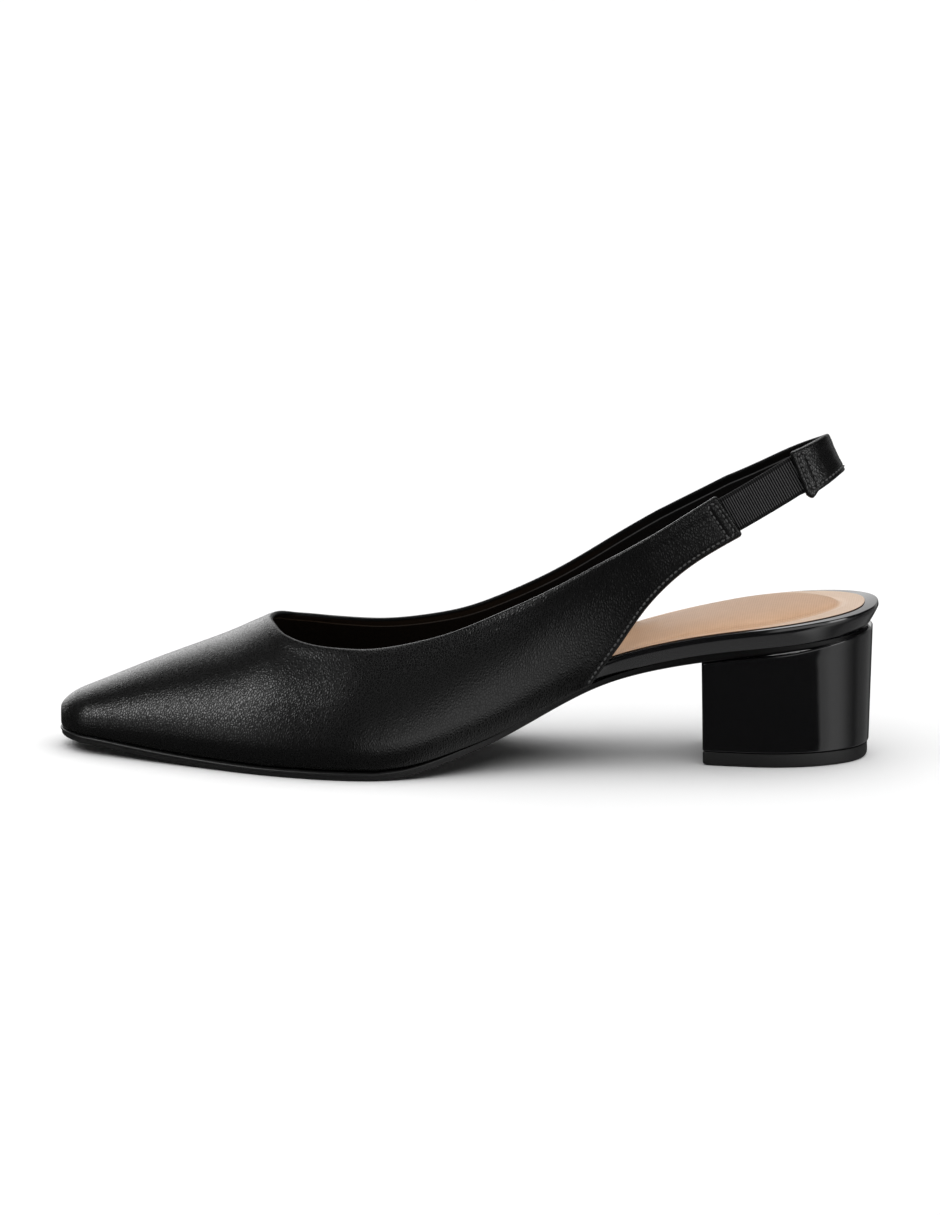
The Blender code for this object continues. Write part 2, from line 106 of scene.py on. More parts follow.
class Table:
    """A short table with named columns, each read as a smooth curve over the first one."""

    def __init__(self, columns, rows):
        self.at = np.array([row[0] for row in rows], float)
        self.curves = {}
        for index, name in enumerate(columns[1:], start=1):
            values = np.array([row[index] for row in rows], float)
            self.curves[name] = (values, self.bends(values))

    def bends(self, values):
        """Second derivatives of the natural cubic curve through the column."""
        count = len(self.at)
        steps = np.diff(self.at)
        slopes = np.diff(values) / steps
        matrix = np.eye(count)
        right = np.zeros(count)
        for i in range(1, count - 1):
            matrix[i, i - 1 : i + 2] = steps[i - 1], 2 * (steps[i - 1] + steps[i]), steps[i]
            right[i] = 6 * (slopes[i] - slopes[i - 1])
        return np.linalg.solve(matrix, right)

    def __call__(self, name, at):
        values, bends = self.curves[name]
        at = np.clip(at, self.at[0], self.at[-1])
        i = np.clip(np.searchsorted(self.at, at, side="right") - 1, 0, len(self.at) - 2)
        step = self.at[i + 1] - self.at[i]
        b = (at - self.at[i]) / step
        a = 1 - b
        curve = (a**3 - a) * bends[i] + (b**3 - b) * bends[i + 1]
        return a * values[i] + b * values[i + 1] + curve * step * step / 6


# Outer and inner are the feather edge's distances from the axis, rise the sole's height above the floor
BOTTOM = Table(
    ("station", "axis", "outer", "inner", "rise"),
    (
        (0, 3.0, 9.5, 9.5, 3.6),
        (12, 2.6, 14.3, 13.8, 2.9),
        (28, 2.0, 21.2, 20.6, 1.6),
        (44, 1.5, 28.0, 27.0, 0.6),
        (55, 1.0, 32.5, 31.0, 0.2),
        (67, 0.6, 37.2, 34.2, 0.0),
        (82, 0.3, 41.5, 35.8, 0.0),
        (96, 0.0, 43.4, 34.2, 0.0),
        (112, 0.0, 41.8, 30.5, 1.2),
        (126, 0.0, 37.6, 26.5, 5.3),
        (140, 0.0, 32.8, 23.8, 10.6),
        (155, 0.0, 28.5, 22.3, 18.2),
        (170, 0.0, 25.7, 21.8, 25.4),
        (186, 0.0, 25.0, 23.2, 30.2),
        (202, 0.0, 26.0, 25.2, 33.3),
        (222, 0.0, 27.5, 27.5, 36.1),
        (256, 0.0, 27.5, 27.5, 39.8),
    ),
)
LAYERS = Table(
    ("station", "sole", "footbed", "footbed_inset"),
    (
        (0, 2.5, 2.0, 0.5),
        (20, 2.5, 2.0, 0.5),
        (45, 2.5, 2.0, 0.5),
        (75, 2.5, 2.0, 0.5),
        (104, 2.5, 2.2, 0.5),
        (130, 2.1, 3.0, 0.5),
        (150, 1.9, 4.4, 0.5),
        (168, 1.9, 5.6, 0.5),
        (185, 2.0, 5.9, 0.2),
        (205, 2.4, 6.0, 0.0),
        (230, 2.1, 6.5, 0.0),
        (256, 1.8, 6.8, 0.0),
    ),
)


def quarter_round(share):
    """0 to 1 along a quarter circle that starts upright."""
    return np.sqrt(1 - (1 - np.clip(share, 0.0, 1.0)) ** 2)


def half_width(side, station):
    """Distance from the axis to the feather edge, closed round at the toe and at the heel seat."""
    width = BOTTOM(side, station) * quarter_round((station - TOE_TIP) / TOE_RADIUS)
    share = np.clip((station - SEAT_START) / (SHOE_LENGTH - SEAT_START), 0.0, 1.0)
    return width * (1 - share**SEAT_ROUNDNESS) ** (1 / SEAT_ROUNDNESS)


def sole_rise(station):
    """Height of the sole's underside above the floor."""
    on_floor = (station >= TREAD_FRONT) & (station <= TREAD_BACK)
    return np.where(on_floor, 0.0, np.maximum(BOTTOM("rise", station), 0.0))


def sole_top(station):
    return sole_rise(station) + LAYERS("sole", station)


def outline(inset):
    """Outer and inner plan points at each station, moved in from the feather edge by inset(station)."""
    angles = np.linspace(0.0, math.pi, OUTLINE_STATIONS)
    stations = TOE_TIP + (SHOE_LENGTH - TOE_TIP) * (1 - np.cos(angles)) / 2
    axis = BOTTOM("axis", stations)
    outer = np.column_stack((stations, axis - half_width("outer", stations)))
    inner = np.column_stack((stations, axis + half_width("inner", stations)))
    ring = np.concatenate((outer, inner[-2:0:-1]))
    tangent = np.roll(ring, -1, axis=0) - np.roll(ring, 1, axis=0)
    normal = np.column_stack((-tangent[:, 1], tangent[:, 0]))
    normal /= np.linalg.norm(normal, axis=1, keepdims=True)
    ring = ring + normal * np.broadcast_to(inset(ring[:, 0]), len(ring))[:, None]
    last = OUTLINE_STATIONS - 1
    return ring[: last + 1], np.concatenate((ring[:1], ring[:last:-1], ring[last : last + 1]))


def loop_faces(loops, width):
    """Faces between neighbouring loops of points that are stored one after another."""
    faces = []
    for i in range(loops - 1):
        for j in range(width):
            k = (j + 1) % width
            faces.append((i * width + j, i * width + k, (i + 1) * width + k, (i + 1) * width + j))
    return faces


def slab(levels, cover=None):
    """Points and faces of a layer of the bottom, from the toe to the heel seat.

    Each level of its side is a pair of functions of the station, the inset and the height, from the
    underside up. The cover, if there is one, gives the lines of points between the two top edges.
    """
    left, right = [], []
    for inset, height in levels:
        for edge, lines in zip(outline(inset), (left, right)):
            lines.append(np.column_stack((edge, height(edge[:, 0]))))
    top = cover(left[-1], right[-1]) if cover else []
    loops = np.array(left + top + right[::-1]).transpose(1, 0, 2)
    return loops.reshape(-1, 3), loop_faces(*loops.shape[:2])


def plain_mesh(name, points, faces, edges=()):
    """Mesh in the frame's own place from points in millimetres."""
    data = bpy.data.meshes.new(name)
    data.from_pydata(((points + frame_shift) * MM).tolist(), edges, faces)
    return data


def add_object(name, data):
    """Object at the frame's origin."""
    added = bpy.data.objects.new(name, data)
    bpy.context.scene.collection.objects.link(added)
    return added


def make_piece(name, points, faces, *finishes):
    """Piece from points in millimetres; points that are doubled along a seam become one."""
    data = plain_mesh(name, points, faces)
    mesh = bmesh.new()
    mesh.from_mesh(data)
    bmesh.ops.remove_doubles(mesh, verts=mesh.verts, dist=SEAM * MM)
    bmesh.ops.recalc_face_normals(mesh, faces=mesh.faces)
    mesh.to_mesh(data)
    mesh.free()
    data.shade_smooth()
    data.set_sharp_from_angle(angle=math.radians(SHARP_ANGLE))
    for finish in finishes:
        data.materials.append(finish)
    return add_object(name, data)


def new_finish(name, colour, values):
    """A material and its node tree, with a colour and fixed values on its shader."""
    finish = bpy.data.materials.new(name)
    finish.use_nodes = True
    shader = finish.node_tree.nodes["Principled BSDF"]
    shader.inputs["Base Color"].default_value = (*colour, 1.0)
    for socket, value in values.items():
        shader.inputs[socket].default_value = value
    return finish, finish.node_tree


def add_node(tree, kind, inputs, **settings):
    """A node of that kind; each of its inputs gets a value or the output of another node."""
    node = tree.nodes.new(kind)
    for setting, value in settings.items():
        setattr(node, setting, value)
    for socket, value in inputs.items():
        if isinstance(value, bpy.types.NodeSocket):
            tree.links.new(value, node.inputs[socket])
        else:
            node.inputs[socket].default_value = value
    return node


def object_place(tree, stretch=(1.0, 1.0, 1.0)):
    """Object coordinates in millimetres, stretched along the axes."""
    place = add_node(tree, "ShaderNodeTexCoord", {}).outputs["Object"]
    scale = [share / MM for share in stretch]
    return add_node(tree, "ShaderNodeMapping", {"Vector": place, "Scale": scale}).outputs["Vector"]


def noise(tree, place, size, detail=2.0):
    """Soft random pattern whose blotches are about that many millimetres across."""
    inputs = {"Vector": place, "Scale": 1 / size, "Detail": detail}
    return add_node(tree, "ShaderNodeTexNoise", inputs).outputs["Fac"]


def between(tree, value, low, high, start=0.0, end=1.0, soft=False):
    """A pattern from start to end, spread from low to high, evenly or along a soft S."""
    inputs = {"Value": value, "From Min": start, "From Max": end, "To Min": low, "To Max": high}
    way = "SMOOTHSTEP" if soft else "LINEAR"
    return add_node(tree, "ShaderNodeMapRange", inputs, interpolation_type=way).outputs["Result"]


def add_relief(tree, height, depth, under=None):
    """Bump of that depth in millimetres, over another one if there is one."""
    inputs = {"Height": height, "Distance": depth * MM, "Strength": 1.0}
    if under:
        inputs["Normal"] = under
    return add_node(tree, "ShaderNodeBump", inputs).outputs["Normal"]


def to_shader(tree, socket, output):
    tree.links.new(output, tree.nodes["Principled BSDF"].inputs[socket])


def patent(name, roughness, wave_depth):
    """Black patent: a mirror-like coat over a board or block whose slight waves show in it."""
    values = {"Coat Weight": 1.0, "Coat Roughness": PATENT_COAT_ROUGHNESS, "IOR": 1.5}
    finish, tree = new_finish(name, PATENT_BLACK, values)
    waves = noise(tree, object_place(tree, PATENT_STRETCH), PATENT_WAVE, 1.0)
    pores = noise(tree, object_place(tree), PATENT_PORE)
    relief = add_relief(tree, pores, PATENT_PORE_DEPTH, add_relief(tree, waves, wave_depth))
    to_shader(tree, "Normal", relief)
    to_shader(tree, "Coat Normal", relief)
    smooth, rough = (1 - PATENT_UNEVEN) * roughness, (1 + PATENT_UNEVEN) * roughness
    to_shader(tree, "Roughness", between(tree, waves, smooth, rough, *NOISE_SPAN))
    return finish


def footbed_height(share):
    """Height function of the footbed's edge at a share of its thickness."""
    return lambda station: sole_top(station) + GAP + share * LAYERS("footbed", station)


def footbed_edge(share):
    """Inset function of the footbed's edge; the share counts the undercut."""
    undercut = share * FOOTBED_UNDERCUT / FOOTBED_THICKEST
    return lambda station: LAYERS("footbed_inset", station) + undercut * LAYERS("footbed", station)


edge_profile = []
for share in np.linspace(0.0, 1.0, EDGE_LEVELS):
    edge_profile.append(((1 - share) ** FOOTBED_HOLLOW, FOOTBED_BELLY * share))
for turn in np.linspace(0.0, math.pi / 2, EDGE_LEVELS)[1:]:
    height = FOOTBED_BELLY + (1 - FOOTBED_BELLY) * math.sin(turn)
    edge_profile.append((FOOTBED_TOP_ROUND * (1 - math.cos(turn)), height))
footbed_levels = [(footbed_edge(inset), footbed_height(share)) for inset, share in edge_profile]
footbed_points, footbed_faces = slab(footbed_levels)
frame_shift = np.array(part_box("footbed")[0]) / MM - footbed_points.min(axis=0)
frame_shift[2] = 0.0
footbed_patent = patent("footbed_patent", FOOTBED_ROUGHNESS, FOOTBED_WAVE_DEPTH)
footbed = make_piece("footbed_board", footbed_points, footbed_faces, footbed_patent)
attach(footbed, shoe_body)
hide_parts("footbed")


# Upper: vamp, quarters and sling, cut from one soft pebbled black leather and lasted over the board.
# Every free edge is folded in, and inside the fold a thin dark lining is cemented to the leather.
# The quarters' lower edges run on into straps; the inner one goes round the heel as the sling.
WALL = 1.6
TOE_TOP_RADIUS = 6.0
TOE_FRONT_SHARE = 0.66
BULGE_HEIGHT = 9.0
THROAT = 67.0
THROAT_SPAN = 26.0
LAST_UPRIGHT_ROW = 146.0
QUARTER_CORNER = 168.0
CORNER_TOP = 157.0
STRAP_STEPS = 5.0
STRAP_LINES = 101
SLING_LINES = 161
ANKLE_STATION = 187.0
ANKLE_ROUNDNESS = 2.25
SLING_BACK = 239.0
SLING_BACK_HEIGHT = 100.9
SLING_BACK_LEAN = 0.45
STRAP_END_ROUND = 1.3
STRAP_TOP_ROUND = 0.9
TAIL_START = 1.5
TAIL_LENGTH = 4.6
TAIL_FADE = 2.8
TAIL_DROP = 1.1
TAIL_REACH = 6.0
LINE_SAMPLES = 201
NEAR_BOTTOM = (0.0, 0.12, 0.32, 0.6, 0.9, 1.25, 1.6, 1.95, 2.4, 3.0)
NEAR_TOP = (0.0, 0.12, 0.32, 0.6, 1.0, 1.5, 2.0, 2.3, 2.6, 2.9, 3.4)
EDGE_SHARE = 0.85
ROW_MIDDLE = 30
NOSE_ROWS = 16
VAMP_ROWS = 40
THROAT_ROWS = 34
QUARTER_ROWS = 40
CORNER_ROWS = 16
ROW_SPACING = 1.1
END_FIRST_ROWS = 5
END_FINE = 6.5
END_SPACING = 0.35
FOLD_SWELL = 0.16
THROAT_FLARE = 1.0
FLARE_DEPTH = 11.0
FLARE_START = 8.0
FLARE_FULL = 16.0
FLARE_FADE = 22.0
LINING = 0.35
LINING_FROM_WEB = 9.0
LINING_WEB_FADE = 2.0
FOLD = 2.4
FOLD_STEP = 0.5
STITCH_INSET = 1.6
END_ROW = 1.7
SECOND_ROW = 4.3
LOOP_ROUND = 1.1
LOOP_POINTS = 5
PATH_STEP = 0.5
THREAD_DENT = 0.2
DENT_WIDTH = 0.5
LEATHER_BLACK = (0.0045, 0.0045, 0.0045)
DRAPE = 22.0
DRAPE_DEPTH = 0.12
GRAIN = 0.95
GRAIN_STRETCH = (1.3, 1.1, 0.85)
GRAIN_WANDER = 0.6
GRAIN_DEPTH = 0.03
GROOVE = 0.4
PORE = 0.35
PORE_DEPTH = 0.003
CRACK = 0.25
CRACK_ROUGHNESS = 0.42
PEBBLE_ROUGHNESS = 0.17
DENT_ROUGHNESS = 0.85
DENT_SHARES = (0.15, 0.6)
# The grain's cracks get painted shade through the specular tint: how far into the grain it spreads, and the
# tint in them
CRACK_SHADE = 0.45
PAINTED_CRACK_TINT = 0.3
# Behind the first range, along the shoe from its middle, and below the second one, in height, the painted
# shade in the grain's cracks is faint; in the ranges it fades
FAINT_SHADE_FROM = (-50.0, -15.0)
FAINT_SHADE_UP_TO = (40.0, 55.0)
FAINT_SHADE_TINT = 0.85
LINING_BLACK = (0.0009, 0.0012, 0.0014)
LINING_ROUGHNESS = 0.8
FOLD_ROUGHNESS = 0.42
NAP = 0.5
NAP_DEPTH = 0.03
# Grey and width of a painted highlight along the lining's top edge, where it meets the fold
LINING_EDGE_HIGHLIGHT = (0.05, 0.05, 0.05)
HIGHLIGHT_WIDTH = 0.3

# Crest is the top of the section, lean how soon the wall turns in, bulge its swell over the feather edge
WALLS = Table(
    ("station", "crest", "lean", "bulge"),
    (
        (0, 13.8, 2.6, 0.6),
        (12, 18.6, 2.4, 0.9),
        (28, 25.2, 2.2, 1.3),
        (44, 31.3, 2.0, 1.8),
        (55, 35.7, 1.85, 2.1),
        (67, 40.9, 1.7, 2.3),
        (82, 43.6, 1.6, 2.5),
        (96, 45.8, 1.6, 2.6),
        (112, 48.6, 1.6, 2.6),
        (126, 52.5, 1.7, 2.3),
        (140, 59.5, 1.8, 2.0),
        (155, 71.0, 2.0, 1.5),
        (170, 95.0, 2.0, 1.0),
        (186, 140.0, 2.0, 0.5),
        (202, 165.0, 2.0, 0.2),
        (222, 175.0, 2.0, 0.0),
        (256, 180.0, 2.0, 0.0),
    ),
)
TOPLINE = Table(
    ("station", "outer", "inner"),
    (
        (67, 40.9, 40.9),
        (69, 40.3, 40.4),
        (71, 39.2, 39.4),
        (76, 37.5, 38.1),
        (83, 36.5, 37.0),
        (90, 36.4, 36.3),
        (97, 36.7, 36.0),
        (114, 39.2, 38.0),
        (125, 42.1, 40.6),
        (139, 47.7, 46.1),
        (155, 55.4, 53.9),
        (170, 64.0, 62.9),
        (186, 73.3, 72.2),
        (201, 82.6, 80.2),
        (207, 86.3, 83.5),
    ),
)
STRAP = Table(
    ("step", "bottom_station", "bottom_height", "top_station"),
    (
        (0, 168.0, 27.2, 157.0),
        (1, 171.7, 32.2, 161.0),
        (2, 178.3, 41.0, 168.0),
        (3, 186.6, 52.5, 178.5),
        (4, 199.3, 64.4, 191.5),
        (5, 215.4, 74.0, 207.0),
    ),
)
# Turn is the angle round the heel in degrees, 0 on the inner side
SLING = Table(
    ("step", "bottom_turn", "bottom_height", "top_turn", "top_height"),
    (
        (0, 22.8, 71.6, 16.9, 83.5),
        (1, 45.0, 79.3, 41.7, 93.0),
        (2, 67.0, 85.6, 66.0, 98.4),
        (3, 90.0, 89.2, 90.0, 101.1),
        (4, 110.0, 88.2, 110.0, 100.9),
        (5, 128.8, 84.6, 129.8, 98.4),
    ),
)
SIDES = {"outer": -1.0, "inner": 1.0}


def feather(station):
    """Height of the last's bottom edge; the leather outside it dips as the wall leans out."""
    dip = np.sin(np.arctan2(2 * WALLS("bulge", station), BULGE_HEIGHT))
    return sole_top(station) + GAP + WALL * dip


def crest(station):
    """Height of the top of the last's section."""
    front = TOE_FRONT_SHARE + (1 - TOE_FRONT_SHARE) * quarter_round((station - TOE_TIP) / TOE_TOP_RADIUS)
    low = feather(station)
    return low + (WALLS("crest", station) - low) * front


def wall_point(side, station, turn):
    """Points of the last's wall; turn runs from 0 at the feather edge to a quarter turn at the crest."""
    station, turn = np.broadcast_arrays(station, turn)
    low = feather(station)
    height = np.sin(turn) ** (2 / WALLS("lean", station)) * (crest(station) - low)
    nose = quarter_round((station - TOE_TIP) / TOE_RADIUS)
    swell = WALLS("bulge", station) * nose * (1 - (1 - np.minimum(height / BULGE_HEIGHT, 1.0)) ** 2)
    out = (half_width(side, station) + swell) * np.cos(turn)
    return np.stack((station, BOTTOM("axis", station) + SIDES[side] * out, low + height), axis=-1)


def wall_turn(station, height):
    """The turn at which the wall reaches a height."""
    low = feather(station)
    up = np.clip((height - low) / (crest(station) - low), 0.0, 1.0)
    return np.arcsin(up ** (WALLS("lean", station) / 2))


def back_of_foot(height):
    """Station of the back of the foot, which leans forward as it rises."""
    return SLING_BACK + SLING_BACK_LEAN * (SLING_BACK_HEIGHT - height)


def sling_point(turn_degrees, height):
    """Points where the wall goes round the back of the heel."""
    turn = np.radians(turn_degrees)
    inner = wall_point("inner", ANKLE_STATION, wall_turn(ANKLE_STATION, height))[..., 1]
    outer = wall_point("outer", ANKLE_STATION, wall_turn(ANKLE_STATION, height))[..., 1]
    power = 2 / ANKLE_ROUNDNESS
    station = ANKLE_STATION + (back_of_foot(height) - ANKLE_STATION) * np.sin(turn) ** power
    across = np.where(turn_degrees < 90, inner, outer) * np.abs(np.cos(turn)) ** power
    return np.stack((station, across, height), axis=-1)


def side_point(side, station, height):
    """Points of the wall at stations and heights, on the last or, behind the ankle, round the heel."""
    behind = np.clip((station - ANKLE_STATION) / (back_of_foot(height) - ANKLE_STATION), 0.0, 1.0)
    turn = np.degrees(np.arcsin(behind ** (ANKLE_ROUNDNESS / 2)))
    round_heel = sling_point(turn if side == "inner" else 180 - turn, height)
    on_last = wall_point(side, station, wall_turn(station, height))
    return np.where((station <= ANKLE_STATION)[..., None], on_last, round_heel)


def upright_line(side, station):
    """Line up the wall from the feather edge to the crest or, behind the throat, to the top line."""
    top = math.pi / 2 if station <= THROAT else wall_turn(station, TOPLINE(side, station))
    return wall_point(side, station, np.linspace(0.0, top, LINE_SAMPLES))


def slanting_line(side, bottom, top):
    """Line up the wall between two places that are given as station and height."""
    share = np.linspace(0.0, 1.0, LINE_SAMPLES)
    station, height = [low + share * (high - low) for low, high in zip(bottom, top)]
    return side_point(side, station, height)


def corner_line(side, share):
    """Line between the last upright one and the corner where the quarter leaves the sole."""
    bottom = LAST_UPRIGHT_ROW + share * (QUARTER_CORNER - LAST_UPRIGHT_ROW)
    top = LAST_UPRIGHT_ROW + share * (CORNER_TOP - LAST_UPRIGHT_ROW)
    return slanting_line(side, (bottom, feather(bottom)), (top, TOPLINE(side, top)))


def strap_line(side, step):
    """Line across the quarter's strap; step counts along its table."""
    top = STRAP("top_station", step)
    drop = (TOPLINE("outer", top) - TOPLINE(side, top)) * step / STRAP_STEPS
    bottom = (STRAP("bottom_station", step), STRAP("bottom_height", step) - drop)
    return slanting_line(side, bottom, (top, TOPLINE(side, top)))


def sling_line(step):
    """Line across the sling; step counts along its table."""
    share = np.linspace(0.0, 1.0, LINE_SAMPLES)
    turn = (1 - share) * SLING("bottom_turn", step) + share * SLING("top_turn", step)
    height = (1 - share) * SLING("bottom_height", step) + share * SLING("top_height", step)
    return sling_point(turn, height)


def lengths_along(line):
    steps = np.linalg.norm(np.diff(line, axis=0), axis=1)
    return np.concatenate(([0.0], np.cumsum(steps)))


def points_at(line, places):
    """Points of a line at distances from its start."""
    lengths = lengths_along(line)
    return np.column_stack([np.interp(places, lengths, column) for column in line.T])


def leather_row(line, bottom_cut=0.0, top_cut=0.0):
    """Points up a line, close together beside its two edges, which may be cut back."""
    total = lengths_along(line)[-1] - top_cut
    room = min(1.0, EDGE_SHARE * (total - bottom_cut) / (NEAR_BOTTOM[-1] + NEAR_TOP[-1]))
    low = bottom_cut + room * np.array(NEAR_BOTTOM)
    high = total - room * np.array(NEAR_TOP[::-1])
    middle = np.linspace(low[-1], high[0], ROW_MIDDLE + 2)[1:-1]
    return points_at(line, np.concatenate((low, middle, high)))


def smooth_step(value):
    """0 to 1 along a soft S."""
    value = np.clip(value, 0.0, 1.0)
    return value * value * (3 - 2 * value)


class Ribbon:
    """A strip of the wall between free edges; places along it are millimetres from its sewn end.

    On the way from its root to that end the outer face is on the right if face is 1, on the left if -1.
    """

    def __init__(self, lines, face):
        self.lines = np.array(lines)
        self.face = face
        middle = lengths_along(self.lines[:, LINE_SAMPLES // 2])
        self.from_end = middle[-1] - middle

    def line(self, from_end):
        order = np.arange(len(self.lines), dtype=float)
        where = np.interp(from_end, self.from_end[::-1], order[::-1])
        i = min(int(where), len(self.lines) - 2)
        return self.lines[i] * (i + 1 - where) + self.lines[i + 1] * (where - i)

    def width(self, from_end):
        return lengths_along(self.line(from_end))[-1]

    def outside(self, from_end, from_bottom):
        """Point on the leather's outer face at distances from the sewn end and the lower edge."""
        step = 0.4
        ahead, here, behind = [
            points_at(self.line(max(from_end + move, 0.0)), (from_bottom, from_bottom + step))
            for move in (-step, 0.0, step)
        ]
        normal = np.cross(ahead[0] - behind[0], here[1] - here[0])
        normal /= np.linalg.norm(normal)
        return here[0] + normal * self.face * (WALL + FOLD_SWELL)

    def rows(self, end_round, tail=0.0):
        """Rows of the strip from its root to its end, whose lower corner is rounded or drops in a tail."""
        first = NEAR_TOP[:END_FIRST_ROWS]
        fine = np.concatenate((first, np.arange(NEAR_TOP[END_FIRST_ROWS], END_FINE, END_SPACING)))
        count = int((self.from_end[0] - END_FINE) / ROW_SPACING)
        coarse = np.linspace(self.from_end[0], END_FINE, count)
        rows = []
        for place in np.concatenate((coarse, fine[::-1])):
            cuts = [r * (1 - quarter_round(place / r)) for r in (end_round, STRAP_TOP_ROUND)]
            row = leather_row(self.line(place), *cuts)
            drop = tail * smooth_step(place / TAIL_START) * smooth_step((TAIL_LENGTH - place) / TAIL_FADE)
            reach = np.clip(1 - lengths_along(row) / TAIL_REACH, 0.0, 1.0)
            down = (row[0] - row[-1]) / np.linalg.norm(row[0] - row[-1])
            rows.append(row + (drop * reach**2)[:, None] * down)
        return rows


strap_steps = np.linspace(0.0, STRAP_STEPS, STRAP_LINES)
outer_strap = Ribbon([strap_line("outer", step) for step in strap_steps], 1.0)
inner_lines = [strap_line("inner", step) for step in strap_steps]
inner_lines += [sling_line(step) for step in np.linspace(0.0, STRAP_STEPS, SLING_LINES)[1:]]
sling = Ribbon(inner_lines, -1.0)


def vamp_rows(side):
    """Rows of one side from the toe tip to the corner of the quarter, and the number before the throat."""
    turns = np.linspace(0.0, math.pi / 2, NOSE_ROWS)
    stations = [TOE_TIP + TOE_RADIUS * (1 - math.cos(turn)) for turn in turns]
    stations += list(np.linspace(stations[-1], THROAT - NEAR_TOP[-1], VAMP_ROWS)[1:-1])
    stations += [THROAT - place for place in NEAR_TOP[::-1]]
    before_throat = len(stations) - 1
    stations += [THROAT + THROAT_SPAN * share**2 for share in np.linspace(0.0, 1.0, THROAT_ROWS)[1:]]
    stations += list(np.linspace(stations[-1], LAST_UPRIGHT_ROW, QUARTER_ROWS)[1:])
    rows = [leather_row(upright_line(side, station)) for station in stations]
    for share in np.linspace(0.0, 1.0, CORNER_ROWS)[1:-1]:
        rows.append(leather_row(corner_line(side, share)))
    return rows, before_throat


def dense(line, spacing=0.15):
    """The same line with its points close together."""
    line = np.array(line)
    total = lengths_along(line)[-1]
    return points_at(line, np.linspace(0.0, total, int(total / spacing) + 2))


def distances(points, lines):
    """Distance from each point to the nearest of the lines."""
    marks = np.concatenate([dense(line) for line in lines])
    tree = KDTree(len(marks))
    for index, mark in enumerate(marks):
        tree.insert(mark, index)
    tree.balance()
    return np.array([tree.find(point)[2] for point in points])


def sheet_surface(sheets):
    """Points, outward normals, faces and rim of sheets of rows that meet along shared lines."""
    mesh = bmesh.new()
    for rows, flip in sheets:
        lines = [[mesh.verts.new(point) for point in row] for row in rows]
        for first, second in zip(lines, lines[1:]):
            for i in range(len(first) - 1):
                corners = (first[i], second[i], second[i + 1], first[i + 1])
                mesh.faces.new(corners[::-1] if flip else corners)
    bmesh.ops.remove_doubles(mesh, verts=mesh.verts, dist=SEAM)
    mesh.normal_update()
    mesh.verts.index_update()
    points = np.array([vert.co for vert in mesh.verts])
    normals = np.array([vert.normal for vert in mesh.verts])
    rim = np.array([vert.is_boundary for vert in mesh.verts])
    faces = [tuple(vert.index for vert in face.verts) for face in mesh.faces]
    mesh.free()
    return points, normals, faces, rim


def shell(outside, inside, faces, rim):
    """Closed wall between two faces that share the points of their rim."""
    twin = np.arange(len(outside))
    twin[~rim] = len(outside) + np.arange(np.count_nonzero(~rim))
    points = np.concatenate((outside, inside[~rim]))
    return points, faces + [tuple(int(twin[i]) for i in face[::-1]) for face in faces]


def end_loop(ribbon):
    """Thread along a strap's lower edge, up beside its end, over and down again in a second row."""
    top_end = ribbon.width(END_ROW) - STITCH_INSET
    top_second = ribbon.width(SECOND_ROW) - STITCH_INSET
    corners = (
        (END_ROW + LOOP_ROUND, STITCH_INSET + LOOP_ROUND, 270, 180),
        (END_ROW + LOOP_ROUND, top_end - LOOP_ROUND, 180, 90),
        (SECOND_ROW - LOOP_ROUND, top_second - LOOP_ROUND, 90, 0),
    )
    along_edge = np.arange(ribbon.from_end[0], END_ROW + LOOP_ROUND, -PATH_STEP)
    path = [(place, STITCH_INSET) for place in along_edge]
    for place, height, start, stop in corners:
        for turn in np.radians(np.linspace(start, stop, LOOP_POINTS)):
            path.append((place + LOOP_ROUND * math.cos(turn), height + LOOP_ROUND * math.sin(turn)))
    path.append((SECOND_ROW, STITCH_INSET + LOOP_ROUND / 2))
    return np.array([ribbon.outside(*place) for place in path])


foot_rows = {side: vamp_rows(side) for side in SIDES}
straps = {"outer": outer_strap.rows(STRAP_END_ROUND), "inner": sling.rows(STRAP_TOP_ROUND, TAIL_DROP)}
sheets, free_edges, feather_edges, sewn_ends = [], [], [], []
for side in SIDES:
    rows, before_throat = foot_rows[side]
    all_rows = np.array(rows + straps[side])
    sheets.append((all_rows, side == "inner"))
    feather_edges.append(all_rows[: len(rows) + 1, 0])
    sewn_ends.append(all_rows[-1])
    free_edges += [all_rows[before_throat:, -1], all_rows[len(rows) :, 0], all_rows[-1]]
thread_paths = [end_loop(outer_strap), end_loop(sling)]

wall_points, wall_normals, wall_faces, wall_rim = sheet_surface(sheets)
from_edge = distances(wall_points, free_edges)
from_rim = np.minimum(from_edge, distances(wall_points, feather_edges))
from_web = distances(wall_points, sewn_ends)
half = WALL / 2 * quarter_round(from_rim / (WALL / 2))
half[wall_rim] = 0.0
thread_gap = distances(wall_points + wall_normals * WALL, thread_paths)
dent = THREAD_DENT * np.exp(-((thread_gap / DENT_WIDTH) ** 2))
step_in = LINING * smooth_step((from_edge - FOLD) / FOLD_STEP)
step_in *= smooth_step((from_web - LINING_FROM_WEB) / LINING_WEB_FADE)
past_throat = wall_points[:, 0] - THROAT
flare_in = smooth_step(past_throat / FLARE_START) * smooth_step(-wall_points[:, 1] / FLARE_START)
flare_out = 1 - smooth_step((past_throat - FLARE_FULL) / FLARE_FADE)
flare = THROAT_FLARE * flare_in * flare_out * np.clip(1 - from_edge / FLARE_DEPTH, 0.0, 1.0) ** 2
middle_of_wall = wall_points + wall_normals * (WALL / 2 + flare)[:, None]
swell = FOLD_SWELL * quarter_round(from_rim / WALL) * (1 - smooth_step((from_edge - FOLD) / FOLD))
outside = middle_of_wall + wall_normals * (half + swell - dent)[:, None]
inside = middle_of_wall - wall_normals * (half + step_in)[:, None]
upper_points, upper_faces = shell(outside, inside, wall_faces, wall_rim)


